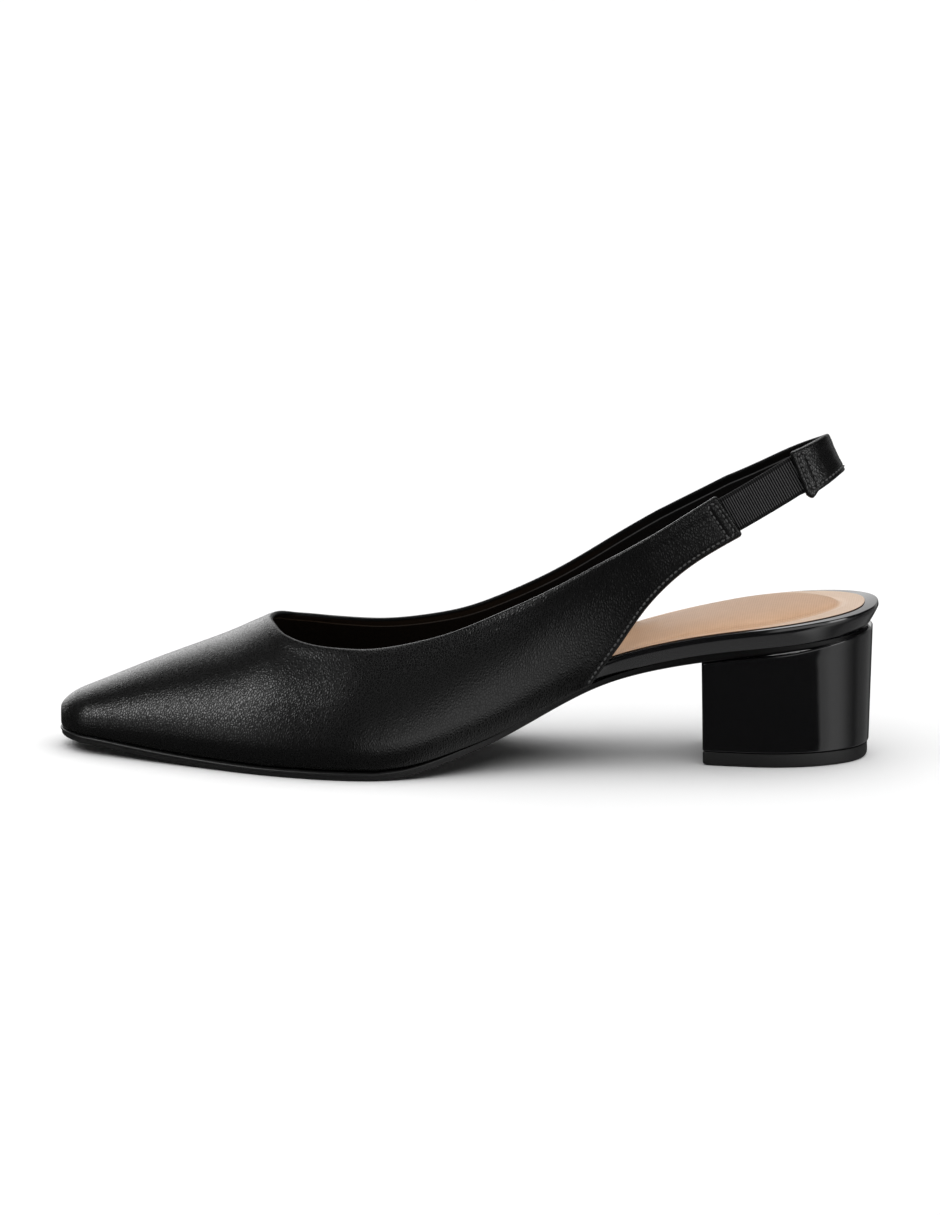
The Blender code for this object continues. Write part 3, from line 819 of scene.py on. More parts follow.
def pebble(tree):
    """Leather grain: rounded pebbles, a little uneven, with grooves where they meet."""
    place = object_place(tree, GRAIN_STRETCH)
    wander = add_node(tree, "ShaderNodeTexNoise", {"Vector": place, "Scale": 1 / GRAIN, "Detail": 1.0})
    centred = {0: wander.outputs["Color"], 1: (0.5, 0.5, 0.5)}
    push = add_node(tree, "ShaderNodeVectorMath", centred, operation="SUBTRACT").outputs[0]
    spread = {0: push, "Scale": GRAIN_WANDER * GRAIN}
    push = add_node(tree, "ShaderNodeVectorMath", spread, operation="SCALE").outputs[0]
    uneven = add_node(tree, "ShaderNodeVectorMath", {0: place, 1: push}, operation="ADD").outputs[0]
    cells = {"Vector": uneven, "Scale": 1 / GRAIN}
    cells = add_node(tree, "ShaderNodeTexVoronoi", cells, feature="DISTANCE_TO_EDGE").outputs["Distance"]
    return between(tree, cells, 0.0, 1.0, 0.0, GROOVE, soft=True)


def mark_points(mesh, name, values):
    """Give each point of the mesh a value, which a material can read."""
    mesh.attributes.new(name, "FLOAT", "POINT").data.foreach_set("value", values)


def point_mark(tree, name):
    return add_node(tree, "ShaderNodeAttribute", {}, attribute_name=name).outputs["Fac"]


def calculate(tree, operation, *values):
    return add_node(tree, "ShaderNodeMath", dict(enumerate(values)), operation=operation).outputs[0]


def blend_colours(tree, share, first, second):
    """Colour from the first, which may be another node's output, to the second."""
    inputs = {0: share, 6: (*first, 1.0) if isinstance(first, tuple) else first, 7: (*second, 1.0)}
    return add_node(tree, "ShaderNodeMix", inputs, data_type="RGBA").outputs[2]


leather, leather_tree = new_finish("black_leather", LEATHER_BLACK, {"IOR": 1.5})
grain = pebble(leather_tree)
drape = noise(leather_tree, object_place(leather_tree), DRAPE)
pores = noise(leather_tree, object_place(leather_tree), PORE, 1.0)
leather_relief = add_relief(leather_tree, drape, DRAPE_DEPTH)
leather_relief = add_relief(leather_tree, grain, GRAIN_DEPTH, leather_relief)
leather_relief = add_relief(leather_tree, pores, PORE_DEPTH, leather_relief)
to_shader(leather_tree, "Normal", leather_relief)
crack_matt = between(leather_tree, grain, CRACK_ROUGHNESS, PEBBLE_ROUGHNESS, 0.0, CRACK)
dent_matt = between(leather_tree, point_mark(leather_tree, "thread_dent"), 0.0, DENT_ROUGHNESS, *DENT_SHARES)
to_shader(leather_tree, "Roughness", calculate(leather_tree, "MAXIMUM", crack_matt, dent_matt))
# Painted shade in the grain's cracks: the specular tint darkens their reflections, less so towards the back
# and low on the sides
spot = add_node(leather_tree, "ShaderNodeSeparateXYZ", {"Vector": object_place(leather_tree)}).outputs
faint_shade_along = between(leather_tree, spot["X"], 0.0, 1.0, *FAINT_SHADE_FROM)
faint_shade_below = between(leather_tree, spot["Z"], 1.0, 0.0, *FAINT_SHADE_UP_TO)
faint_crack_shade = calculate(leather_tree, "MULTIPLY", faint_shade_along, faint_shade_below)
crack_shade_tint = between(leather_tree, faint_crack_shade, PAINTED_CRACK_TINT, FAINT_SHADE_TINT)
to_shader(leather_tree, "Specular Tint", between(leather_tree, grain, crack_shade_tint, 1.0, 0.0, CRACK_SHADE))

lining, lining_tree = new_finish("fold_and_lining", LINING_BLACK, {"IOR": 1.3, "Specular IOR Level": 0.25})
depth_in = point_mark(lining_tree, "from_edge")
on_lining = between(lining_tree, depth_in, 0.0, 1.0, FOLD, FOLD + FOLD_STEP)
# A painted highlight: a thin lighter grey line in the colour along the lining's top edge
highlight_start = between(lining_tree, depth_in, 0.0, 1.0, FOLD, FOLD + 0.5 * HIGHLIGHT_WIDTH)
highlight_end = between(lining_tree, depth_in, 1.0, 0.0, FOLD + HIGHLIGHT_WIDTH, FOLD + 1.5 * HIGHLIGHT_WIDTH)
painted_highlight = calculate(lining_tree, "MULTIPLY", highlight_start, highlight_end)
to_shader(lining_tree, "Base Color", blend_colours(lining_tree, painted_highlight, LINING_BLACK, LINING_EDGE_HIGHLIGHT))
nap = noise(lining_tree, object_place(lining_tree), NAP, 3.0)
fold_relief = add_relief(lining_tree, pebble(lining_tree), GRAIN_DEPTH)
to_shader(lining_tree, "Normal", add_relief(lining_tree, nap, NAP_DEPTH, fold_relief))
to_shader(lining_tree, "Roughness", between(lining_tree, on_lining, FOLD_ROUGHNESS, LINING_ROUGHNESS))

upper_mesh = plain_mesh("upper_leather", upper_points, upper_faces)
upper_mesh.shade_smooth()
upper_mesh.materials.append(leather)
upper_mesh.materials.append(lining)
inner_faces = np.arange(len(upper_faces)) >= len(wall_faces)
upper_mesh.polygons.foreach_set("material_index", inner_faces.astype(np.int32))
mark_points(upper_mesh, "from_edge", np.concatenate((from_edge, from_edge[~wall_rim])))
no_dent = np.zeros(np.count_nonzero(~wall_rim))
mark_points(upper_mesh, "thread_dent", np.concatenate((dent / THREAD_DENT, no_dent)))
upper = add_object("upper_leather", upper_mesh)
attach(upper, shoe_body)
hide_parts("upper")


# Stitching: waxed black thread in lockstitch. One row runs along the lower edge of each strap, and at
# its end turns up, over and back in a second row that holds the elastic web behind the leather.
STITCH_PITCH = 1.75
STITCH_LENGTH = 1.4
THREAD_THICKNESS = 0.62
STITCH_SEGMENTS = 8
STITCH_RINGS = 6
THREAD_BLACK = (0.06, 0.06, 0.06)
THREAD_STRETCH = (1.0, 0.6, 1.6)
THREAD_PLY = 0.25
THREAD_PLY_DEPTH = 0.05
WAX_SPOT = 0.6
THREAD_ROUGHNESS = (0.3, 0.55)


def new_tree(name, sizes):
    """A geometry node tree with a mesh going in and out, and named inputs for its sizes."""
    tree = bpy.data.node_groups.new(name, "GeometryNodeTree")
    tree.interface.new_socket("Geometry", in_out="INPUT", socket_type="NodeSocketGeometry")
    for size in sizes:
        tree.interface.new_socket(size, in_out="INPUT", socket_type="NodeSocketFloat")
    tree.interface.new_socket("Geometry", in_out="OUTPUT", socket_type="NodeSocketGeometry")
    return tree, add_node(tree, "NodeGroupInput", {}).outputs


def end_tree(tree, geometry, finish):
    """Make the copies real and give them their material, which ends every tree."""
    real = add_node(tree, "GeometryNodeRealizeInstances", {"Geometry": geometry}).outputs["Geometry"]
    made = add_node(tree, "GeometryNodeSetMaterial", {"Geometry": real, "Material": finish})
    add_node(tree, "NodeGroupOutput", {"Geometry": made.outputs["Geometry"]})


def grow(piece, tree, sizes):
    """Run the tree on the piece with its sizes, and keep the result as a plain mesh."""
    modifier = piece.modifiers.new(tree.name, "NODES")
    modifier.node_group = tree
    for socket in tree.interface.items_tree:
        if socket.in_out == "INPUT" and socket.name in sizes:
            modifier[socket.identifier] = sizes[socket.name]
    graph = bpy.context.evaluated_depsgraph_get()
    result = bpy.data.meshes.new_from_object(piece.evaluated_get(graph))
    piece.modifiers.remove(modifier)
    result.name = piece.name
    result.shade_smooth()
    piece.data = result


thread, thread_tree = new_finish("black_thread", THREAD_BLACK, {"IOR": 1.5})
thread_place = object_place(thread_tree, THREAD_STRETCH)
ply = noise(thread_tree, thread_place, THREAD_PLY)
to_shader(thread_tree, "Normal", add_relief(thread_tree, ply, THREAD_PLY_DEPTH))
wax = noise(thread_tree, thread_place, WAX_SPOT)
to_shader(thread_tree, "Roughness", between(thread_tree, wax, *THREAD_ROUGHNESS))

stitches, wanted = new_tree("rows_of_stitches", ("Pitch", "Length", "Thickness"))
seam = add_node(stitches, "GeometryNodeMeshToCurve", {"Mesh": wanted["Geometry"]}).outputs["Curve"]
spaced = {"Curve": seam, "Length": wanted["Pitch"]}
spaced = add_node(stitches, "GeometryNodeResampleCurve", spaced, mode="LENGTH").outputs["Curve"]
tangent = add_node(stitches, "GeometryNodeInputTangent", {}).outputs["Tangent"]
turned = add_node(stitches, "FunctionNodeAlignRotationToVector", {"Vector": tangent}, axis="X")
ball = {"Segments": STITCH_SEGMENTS, "Rings": STITCH_RINGS, "Radius": 0.5}
ball = add_node(stitches, "GeometryNodeMeshUVSphere", ball).outputs["Mesh"]
shape = {"X": wanted["Length"], "Y": wanted["Thickness"], "Z": wanted["Thickness"]}
shape = add_node(stitches, "ShaderNodeCombineXYZ", shape).outputs["Vector"]
stitch = {"Geometry": ball, "Scale": shape}
stitch = add_node(stitches, "GeometryNodeTransform", stitch).outputs["Geometry"]
sewn = {"Points": spaced, "Instance": stitch, "Rotation": turned.outputs["Rotation"]}
sewn = add_node(stitches, "GeometryNodeInstanceOnPoints", sewn).outputs["Instances"]
end_tree(stitches, sewn, thread)

seam_edges = []
for path in thread_paths:
    first = seam_edges[-1][1] + 1 if seam_edges else 0
    seam_edges += [(i, i + 1) for i in range(first, first + len(path) - 1)]
stitching = add_object("stitching", plain_mesh("stitching", np.concatenate(thread_paths), [], seam_edges))
stitch_sizes = {"Pitch": STITCH_PITCH, "Length": STITCH_LENGTH, "Thickness": THREAD_THICKNESS}
grow(stitching, stitches, {name: size * MM for name, size in stitch_sizes.items()})
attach(stitching, shoe_body)


# Elastic web: a black woven elastic, ribbed across between two smooth selvedges. Its ends are tucked
# behind the end of the outer strap and of the sling and sewn there, so the sling can stretch.
WEB_THICKNESS = 1.2
WEB_WIDTH = 12.0
WEB_TUCK = 8.0
SEWN_GAP = 0.4
SELVEDGE = 1.1
RIB_PITCH = 0.74
RIB_HEIGHT = 0.2
RIB_FADE = 0.2
SELVEDGE_SHADE = 0.22
POINTS_PER_RIB = 8
WEB_EDGE_PLACES = (0.0, 0.12, 0.35)
WEB_MIDDLE_START = 0.7
WEB_MIDDLE_POINTS = 9
CORD_PITCH = 0.55
CORD_DEPTH = 0.02
FUZZ = 0.3
FUZZ_DEPTH = 0.04
FUZZ_ROUGHNESS = (0.45, 0.75)
RIB_SHARPNESS = 0.6
# Colour on the ribs' crests and in their grooves: painted light and shade over the ribs
WEB_BLACK = (0.072, 0.072, 0.073)
WEB_GROOVE_SHADE = (0.001, 0.001, 0.001)

strap_end = strap_line("outer", STRAP_STEPS)[[0, -1]].mean(axis=0)
sling_end = sling_line(STRAP_STEPS)[[0, -1]].mean(axis=0)
web_start, web_end = strap_end[[0, 2]], sling_end[[0, 2]]
web_length = np.linalg.norm(web_end - web_start)
web_along = (web_end - web_start) / web_length
web_across = np.array((-web_along[1], web_along[0]))
places = np.arange(-WEB_TUCK, web_length + WEB_TUCK, RIB_PITCH / POINTS_PER_RIB)
web_half = WEB_WIDTH / 2
edge_heights = np.array(WEB_EDGE_PLACES) - web_half
middle_heights = np.linspace(WEB_MIDDLE_START - web_half, 0.0, WEB_MIDDLE_POINTS)
lower_heights = np.concatenate((edge_heights, middle_heights))
heights = np.concatenate((lower_heights, -lower_heights[-2::-1]))
web_rows = []
for place in places:
    spots = web_start + web_along * place + heights[:, None] * web_across
    web_rows.append(side_point("outer", spots[:, 0], spots[:, 1]))
web_points, web_normals, web_faces, web_rim = sheet_surface([(web_rows, False)])
web_rows = np.array(web_rows)
web_edges = [web_rows[:, 0], web_rows[:, -1], web_rows[0], web_rows[-1]]
web_half_wall = WEB_THICKNESS / 2 * quarter_round(distances(web_points, web_edges) / (WEB_THICKNESS / 2))
web_half_wall[web_rim] = 0.0
web_middle = web_points - web_normals * (SEWN_GAP + WEB_THICKNESS / 2)
web_wall = web_normals * web_half_wall[:, None]
web_shell = shell(web_middle + web_wall, web_middle - web_wall, web_faces, web_rim)

web_finish, web_tree = new_finish("black_elastic", WEB_BLACK, {"IOR": 1.45, "Specular IOR Level": 0.12})
cords = point_mark(web_tree, "across")
cord_turn = calculate(web_tree, "MULTIPLY", cords, 2 * math.pi / CORD_PITCH)
cord_relief = add_relief(web_tree, calculate(web_tree, "SINE", cord_turn), CORD_DEPTH)
fuzz = noise(web_tree, object_place(web_tree), FUZZ)
to_shader(web_tree, "Normal", add_relief(web_tree, fuzz, FUZZ_DEPTH, cord_relief))
to_shader(web_tree, "Roughness", between(web_tree, fuzz, *FUZZ_ROUGHNESS))
# Painted light and shade on the ribs: the colour goes from the near black of the grooves to the lighter
# crests, and stays darker over the selvedges
rib_turn = calculate(web_tree, "MULTIPLY", point_mark(web_tree, "along"), 2 * math.pi / RIB_PITCH)
rib_wave = calculate(web_tree, "SINE", rib_turn)
rib_light_and_shade = between(web_tree, rib_wave, 0.0, 1.0, -RIB_SHARPNESS, RIB_SHARPNESS)
from_web_middle = calculate(web_tree, "ABSOLUTE", cords)
rib_end = WEB_WIDTH / 2 - SELVEDGE
ribbed_part = between(web_tree, from_web_middle, 1.0, SELVEDGE_SHADE, rib_end - RIB_FADE, rib_end)
rib_light_and_shade = calculate(web_tree, "MULTIPLY", rib_light_and_shade, ribbed_part)
to_shader(web_tree, "Base Color", blend_colours(web_tree, rib_light_and_shade, WEB_GROOVE_SHADE, WEB_BLACK))

ribs, wanted = new_tree("ribbed_web", ("Rib Pitch", "Rib Height", "Selvedge", "Half Width"))
along, across = [
    add_node(ribs, "GeometryNodeInputNamedAttribute", {"Name": name}).outputs["Attribute"]
    for name in ("along", "across")
]
pitches = calculate(ribs, "DIVIDE", along, wanted["Rib Pitch"])
wave = calculate(ribs, "SINE", calculate(ribs, "MULTIPLY", pitches, 2 * math.pi))
inner_width = calculate(ribs, "SUBTRACT", wanted["Half Width"], wanted["Selvedge"])
ribbed = calculate(ribs, "LESS_THAN", calculate(ribs, "ABSOLUTE", across), inner_width)
rib_rise = calculate(ribs, "MULTIPLY", calculate(ribs, "MULTIPLY", wave, ribbed), wanted["Rib Height"])
facing = add_node(ribs, "GeometryNodeInputNormal", {}).outputs["Normal"]
raised = add_node(ribs, "ShaderNodeVectorMath", {0: facing, "Scale": rib_rise}, operation="SCALE").outputs[0]
moved = add_node(ribs, "GeometryNodeSetPosition", {"Geometry": wanted["Geometry"], "Offset": raised})
end_tree(ribs, moved.outputs["Geometry"], web_finish)

web_mesh = plain_mesh("elastic_web", *web_shell)
web_spots = web_points[:, [0, 2]] - web_start
for name, axis in (("along", web_along), ("across", web_across)):
    values = web_spots @ axis
    mark_points(web_mesh, name, np.concatenate((values, values[~web_rim])))
web = add_object("elastic_web", web_mesh)
web_sizes = {
    "Rib Pitch": RIB_PITCH,
    "Rib Height": RIB_HEIGHT * MM,
    "Selvedge": SELVEDGE,
    "Half Width": WEB_WIDTH / 2,
}
grow(web, ribs, web_sizes)
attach(web, shoe_body)
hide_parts("elastic_gore")


# Outsole: a thin moulded rubber sheet, cemented under the lasted upper. Its edge is bevelled towards
# the floor and ends in a fine bead against the leather; at the waist it draws in under the footbed.
SOLE_LIP = 0.45
SOLE_LIP_FADE = 26.0
SOLE_BEVEL = 0.7
SOLE_BORDER = 3.0
BEAD = 0.45
BEAD_START = 2.4
BEAD_POINTS = 9
ROUND_STEPS = 6
SOLE_BLACK = (0.013, 0.013, 0.013)
WAIST_SHADE_BLACK = (0.001, 0.001, 0.001)
# Along the shoe from its middle, where the edge's colour goes over into near black: painted shade in the
# groove under the footbed
WAIST_SHADE_RANGE = (-10.0, 40.0)
RUBBER_SKIN = 0.5
RUBBER_SKIN_DEPTH = 0.02
RUBBER_ROUGHNESS = (0.28, 0.48)
SOLE_EDGE = Table(
    ("station", "inset"),
    (
        (0, -1.3),
        (20, -1.9),
        (45, -2.3),
        (75, -2.4),
        (104, -2.2),
        (130, -0.8),
        (150, 1.0),
        (168, 2.2),
        (185, 3.0),
        (205, 3.6),
        (256, 3.6),
    ),
)


def sole_side(out, height):
    """Level of the sole's side: how far it stands out from its edge, and its height function."""

    def inset(station):
        fade = np.clip((TREAD_BACK + SOLE_LIP_FADE - station) / SOLE_LIP_FADE, 0.0, 1.0)
        return SOLE_EDGE("inset", station) - out * np.where(out > 0, fade, 1.0)

    return inset, height


def sole_level(rise=0.0, below_top=None):
    """Height function of the sole's side, measured from its underside or from its top."""
    if below_top is None:
        return lambda station: sole_rise(station) + rise
    return lambda station: sole_top(station) - below_top


quarter_turns = np.linspace(0.0, math.pi / 2, ROUND_STEPS)
sole_levels = [sole_side(-SOLE_BORDER * SOLE_BEVEL, sole_level())]
for turn in quarter_turns:
    bevel = sole_level(SOLE_BEVEL * (1 - math.cos(turn)))
    sole_levels.append(sole_side(-SOLE_BEVEL * (1 - math.sin(turn)), bevel))
sole_levels.append(sole_side(0.0, sole_level(below_top=BEAD_START * BEAD)))
for turn in np.linspace(-math.pi / 2, math.pi / 2, BEAD_POINTS):
    bead = sole_level(below_top=BEAD * (1 - math.sin(turn)))
    sole_levels.append(sole_side(SOLE_LIP * math.cos(turn), bead))

rubber, rubber_tree = new_finish("sole_rubber", SOLE_BLACK, {"IOR": 1.5})
rubber_place = object_place(rubber_tree)
rubber_skin = noise(rubber_tree, rubber_place, RUBBER_SKIN, 3.0)
to_shader(rubber_tree, "Normal", add_relief(rubber_tree, rubber_skin, RUBBER_SKIN_DEPTH))
rubber_matt = between(rubber_tree, rubber_skin, *RUBBER_ROUGHNESS, *NOISE_SPAN)
to_shader(rubber_tree, "Roughness", rubber_matt)
# The edge's colour darkens from the waist back: painted shade under the footbed
along_shoe = add_node(rubber_tree, "ShaderNodeSeparateXYZ", {"Vector": rubber_place}).outputs["X"]
painted_waist_shade = between(rubber_tree, along_shoe, 0.0, 1.0, *WAIST_SHADE_RANGE)
to_shader(rubber_tree, "Base Color", blend_colours(rubber_tree, painted_waist_shade, SOLE_BLACK, WAIST_SHADE_BLACK))
outsole = make_piece("outsole_sheet", *slab(sole_levels), rubber)
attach(outsole, shoe_body)
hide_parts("outsole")


# Heel block: a moulded plastic block with a straight breast, covered in the same black patent as the
# footbed. The cover is drawn round it, turned under top and bottom, and nailed up through the seat.
HEEL_BREAST = 202.2
HEEL_INSET = 1.8
HEEL_TAPER = 1.4
HEEL_TOP_WIDTH = 0.97
HEEL_BOTTOM_WIDTH = 0.92
HEEL_BREAST_WIDTH = 0.92
HEEL_BELLY = 232.0
HEEL_CORNER = 1.6
HEEL_CORNER_POINTS = 7
HEEL_EDGE = 0.5
RIM_START = 228.0
RIM_HEIGHT = 1.8
SEAT_WALL = 3.2
SEAT_DRAFT = 0.1
HEEL_LEVELS = 12
HEEL_SIDE_POINTS = 90
HEEL_ROUGHNESS = 0.1
HEEL_WAVE_DEPTH = 0.12
LIFT_HEIGHT = 4.4


def heel_outline(inset, width, breast=HEEL_BREAST):
    """D-shaped plan of the heel: the seat's outline, drawn in towards a straight breast."""
    sides = []
    for side in outline(lambda station: inset):
        front = np.interp(breast, side[:, 0], side[:, 1])
        toward = -math.copysign(HEEL_CORNER, front)
        turns = np.linspace(0.0, math.pi / 2, HEEL_CORNER_POINTS)
        corner_station = breast + HEEL_CORNER * (1 - np.sin(turns))
        corner = np.column_stack((corner_station, front + toward * (1 - np.cos(turns))))
        rest = np.concatenate((corner[:1], side[side[:, 0] > breast + 2 * HEEL_CORNER]))
        rest = points_at(rest, np.linspace(0.0, lengths_along(rest)[-1], HEEL_SIDE_POINTS))
        sides.append(np.concatenate((corner[:0:-1], rest)))
    ring = np.concatenate((sides[0], sides[1][-2::-1]))
    ahead = np.clip((HEEL_BELLY - ring[:, 0]) / (HEEL_BELLY - breast), 0.0, 1.0)
    ring[:, 1] *= width * (1 - (1 - HEEL_BREAST_WIDTH) * ahead**2)
    return ring


def heel_level(inset, width, height, breast=HEEL_BREAST):
    """Ring of the heel's plan; its height is one number or a function of the station."""
    ring = heel_outline(inset, width, breast)
    rise = height(ring[:, 0]) if callable(height) else np.full(len(ring), height)
    return np.column_stack((ring, rise))


def column(levels):
    """Points and faces of a solid through stacked rings with flat caps."""
    count = len(levels[0])
    faces = loop_faces(len(levels), count)
    faces.append(tuple(range(count)))
    faces.append(tuple(range(count * (len(levels) - 1), count * len(levels))))
    return np.concatenate(levels), faces


def heel_seat(station):
    return sole_rise(station) - GAP


def heel_rim(station):
    """Height of the heel's top edge, which comes up round the sole towards the back."""
    return heel_seat(station) + RIM_HEIGHT * smooth_step((station - RIM_START) / (SHOE_LENGTH - RIM_START))


def heel_side(share):
    """Height function of the heel's side at a share of its height between the rounded edges."""
    low = LIFT_HEIGHT + GAP + HEEL_EDGE
    return lambda station: low + share * (heel_rim(station) - HEEL_EDGE - low)


def heel_top_round(turn):
    return lambda station: heel_rim(station) - HEEL_EDGE * (1 - math.sin(turn))


heel_levels = []
for turn in quarter_turns:
    inset = HEEL_INSET + HEEL_TAPER + HEEL_EDGE * (1 - math.sin(turn))
    height = LIFT_HEIGHT + GAP + HEEL_EDGE * (1 - math.cos(turn))
    heel_levels.append(heel_level(inset, HEEL_BOTTOM_WIDTH, height))
for share in np.linspace(0.0, 1.0, HEEL_LEVELS)[1:]:
    width = share * HEEL_TOP_WIDTH + (1 - share) * HEEL_BOTTOM_WIDTH
    heel_levels.append(heel_level(HEEL_INSET + HEEL_TAPER * (1 - share), width, heel_side(share)))
for turn in quarter_turns[1:]:
    inset = HEEL_INSET + HEEL_EDGE * (1 - math.cos(turn))
    heel_levels.append(heel_level(inset, HEEL_TOP_WIDTH, heel_top_round(turn)))
heel_levels.append(heel_level(SEAT_WALL, HEEL_TOP_WIDTH, heel_rim))
heel_levels.append(heel_level(SEAT_WALL + SEAT_DRAFT, HEEL_TOP_WIDTH, heel_seat))
heel_patent = patent("heel_patent", HEEL_ROUGHNESS, HEEL_WAVE_DEPTH)
heel = make_piece("heel_cover", *column(heel_levels), heel_patent)
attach(heel, shoe_body)
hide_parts("heel_block")


# Top piece: a moulded rubber lift nailed under the heel block, a little smaller than it, its lower edge
# worn round by the mould. It is the part of the heel that stands on the floor.
LIFT_INSET = 0.5
LIFT_ROUND = 1.0
LIFT_TOP_ROUND = 0.3
LIFT_BLACK = (0.011, 0.011, 0.011)
LIFT_SKIN = 0.45
LIFT_SKIN_DEPTH = 0.025
LIFT_ROUGHNESS = (0.42, 0.6)

lift_inset = HEEL_INSET + HEEL_TAPER + LIFT_INSET
lift_rounds = [(LIFT_ROUND, turn, 0.0, 1.0) for turn in quarter_turns]
lift_rounds += [(LIFT_TOP_ROUND, turn, LIFT_HEIGHT, -1.0) for turn in math.pi / 2 - quarter_turns]
lift_levels = []
for radius, turn, base, upward in lift_rounds:
    inset = radius * (1 - math.sin(turn))
    height = base + upward * radius * (1 - math.cos(turn))
    level = heel_level(lift_inset + inset, HEEL_BOTTOM_WIDTH, height, HEEL_BREAST + inset)
    lift_levels.append(level)
lift_rubber, lift_tree = new_finish("lift_rubber", LIFT_BLACK, {"IOR": 1.5})
lift_skin = noise(lift_tree, object_place(lift_tree), LIFT_SKIN, 3.0)
to_shader(lift_tree, "Normal", add_relief(lift_tree, lift_skin, LIFT_SKIN_DEPTH))
to_shader(lift_tree, "Roughness", between(lift_tree, lift_skin, *LIFT_ROUGHNESS, *NOISE_SPAN))
lift = make_piece("heel_lift", *column(lift_levels), lift_rubber)
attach(lift, shoe_body)
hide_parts("top_piece")


# Sock: the tan lining under the foot, a fine woven-grain sheet over thin foam, cemented to the footbed
# last of all. Under the heel the foam is thicker and the sheet is pressed down round it in a flange.
SOCK_MARGIN = 1.8
SOCK_BACK_MARGIN = 4.3
SOCK_MARGIN_START = 212.0
SOCK_LIFT = 0.09
SOCK_THICKNESS = 0.34
SOCK_ROUND = 0.2
SOCK_FLANGE_SIDE = 3.6
SOCK_LEAST_CUSHION = 0.5
SOCK_DOME = 2.6
SOCK_DOME_FALL = 3
SOCK_DOME_FULLNESS = 0.6
SOCK_DOME_FRONT = 165.0
SOCK_DOME_PEAK = 213.0
SOCK_DOME_BACK = 243.5
SOCK_BACK_ROUNDNESS = 2.6
SOCK_GROOVE = 0.3
SOCK_GROOVE_PLACE = 1.03
SOCK_GROOVE_WIDTH = 0.045
FLANGE_START = 0.97
FLANGE_FADE = 0.08
FLANGE_RUN = 20.0
SOCK_COLUMNS = 91
SOCK_EDGE_UPRIGHT = 0.5
SOCK_TAN = (0.6, 0.372, 0.226)
SOCK_TAN_DARK = (0.5, 0.298, 0.175)
# Paler tan of the flange: a painted sheen
SOCK_FLANGE_SHEEN_TAN = (0.62, 0.455, 0.335)
SOCK_EDGE_BROWN = (0.045, 0.022, 0.011)
WEAVE = 0.75
WEAVE_DEPTH = 0.03
WEAVE_TONES = (0.3, 1.1)
WEAVE_ROUGHNESS = (0.5, 0.38)
MOTTLE = 3.0
MOTTLE_DEPTH = 0.05
CUT_FIBRE = 0.4
CUT_FIBRE_DEPTH = 0.05
CUT_ROUGHNESS = (0.7, 0.95)


def sock_under(station):
    return footbed_height(1.0)(station) + SOCK_LIFT


def sock_margin(station):
    """Width of the footbed's bare margin, which grows towards the back."""
    behind = smooth_step((station - SOCK_MARGIN_START) / (SHOE_LENGTH - SOCK_MARGIN_START))
    return SOCK_MARGIN + (SOCK_BACK_MARGIN - SOCK_MARGIN) * behind


def sock_level(inset, share):
    """Level of the sock's edge: its extra inset and its share of the sock's thickness."""
    return (
        lambda station: LAYERS("footbed_inset", station) + sock_margin(station) + inset,
        lambda station: sock_under(station) + share * SOCK_THICKNESS,
    )


def cushion_share(station, across, half):
    """0 on the middle line of the heel cushion, 1 at its edge and more outside it."""
    back = np.clip((station - SOCK_DOME_PEAK) / (SOCK_DOME_BACK - SOCK_DOME_PEAK), 0.0, None)
    wide = np.maximum(half - SOCK_FLANGE_SIDE, SOCK_LEAST_CUSHION * half)
    side = np.abs(across) / np.maximum(wide, 0.1)
    return (side**SOCK_BACK_ROUNDNESS + back**SOCK_BACK_ROUNDNESS) ** (1 / SOCK_BACK_ROUNDNESS)


def sock_cover(left, right):
    """Lines across the sock's top from one edge to the other, with the cushion and its pressed groove."""
    lines = []
    half = np.linalg.norm(right[:, :2] - left[:, :2], axis=1) / 2
    for share in np.linspace(-1.0, 1.0, SOCK_COLUMNS)[1:-1]:
        point = (left * (1 - share) + right * (1 + share)) / 2
        station = point[:, 0]
        rim = cushion_share(station, share * half, half)
        front = smooth_step((station - SOCK_DOME_FRONT) / (SOCK_DOME_PEAK - SOCK_DOME_FRONT))
        swell = SOCK_DOME * front * np.clip(1 - rim**SOCK_DOME_FALL, 0.0, 1.0) ** SOCK_DOME_FULLNESS
        groove = SOCK_GROOVE * front * np.exp(-(((rim - SOCK_GROOVE_PLACE) / SOCK_GROOVE_WIDTH) ** 2))
        point[:, 2] += swell - groove
        lines.append(point)
    return lines


sock_levels = [sock_level(0.0, 0.0), sock_level(0.0, SOCK_EDGE_UPRIGHT)]
for turn in quarter_turns:
    share = SOCK_EDGE_UPRIGHT + (1 - SOCK_EDGE_UPRIGHT) * math.sin(turn)
    sock_levels.append(sock_level(SOCK_ROUND * (1 - math.cos(turn)), share))

sock_values = {"IOR": 1.45, "Sheen Weight": 0.5, "Sheen Roughness": 0.3}
sock_finish, sock_tree = new_finish("tan_sock", SOCK_TAN, sock_values)
sock_place = object_place(sock_tree)
# At scale 1 the bands of this pattern are 2 pi / 20 apart
threads = {"Vector": sock_place, "Scale": 2 * math.pi / 20 / WEAVE}
threads |= {"Distortion": 0.6, "Detail": 1.0, "Detail Scale": 2.0}
warp, weft = [
    add_node(sock_tree, "ShaderNodeTexWave", threads, bands_direction=axis).outputs["Fac"] for axis in "XY"
]
woven = calculate(sock_tree, "MULTIPLY", warp, weft)
mottle = noise(sock_tree, sock_place, MOTTLE, 3.0)
tone = between(sock_tree, calculate(sock_tree, "ADD", woven, mottle), 0.0, 1.0, *WEAVE_TONES)
tan = blend_colours(sock_tree, tone, SOCK_TAN_DARK, SOCK_TAN)
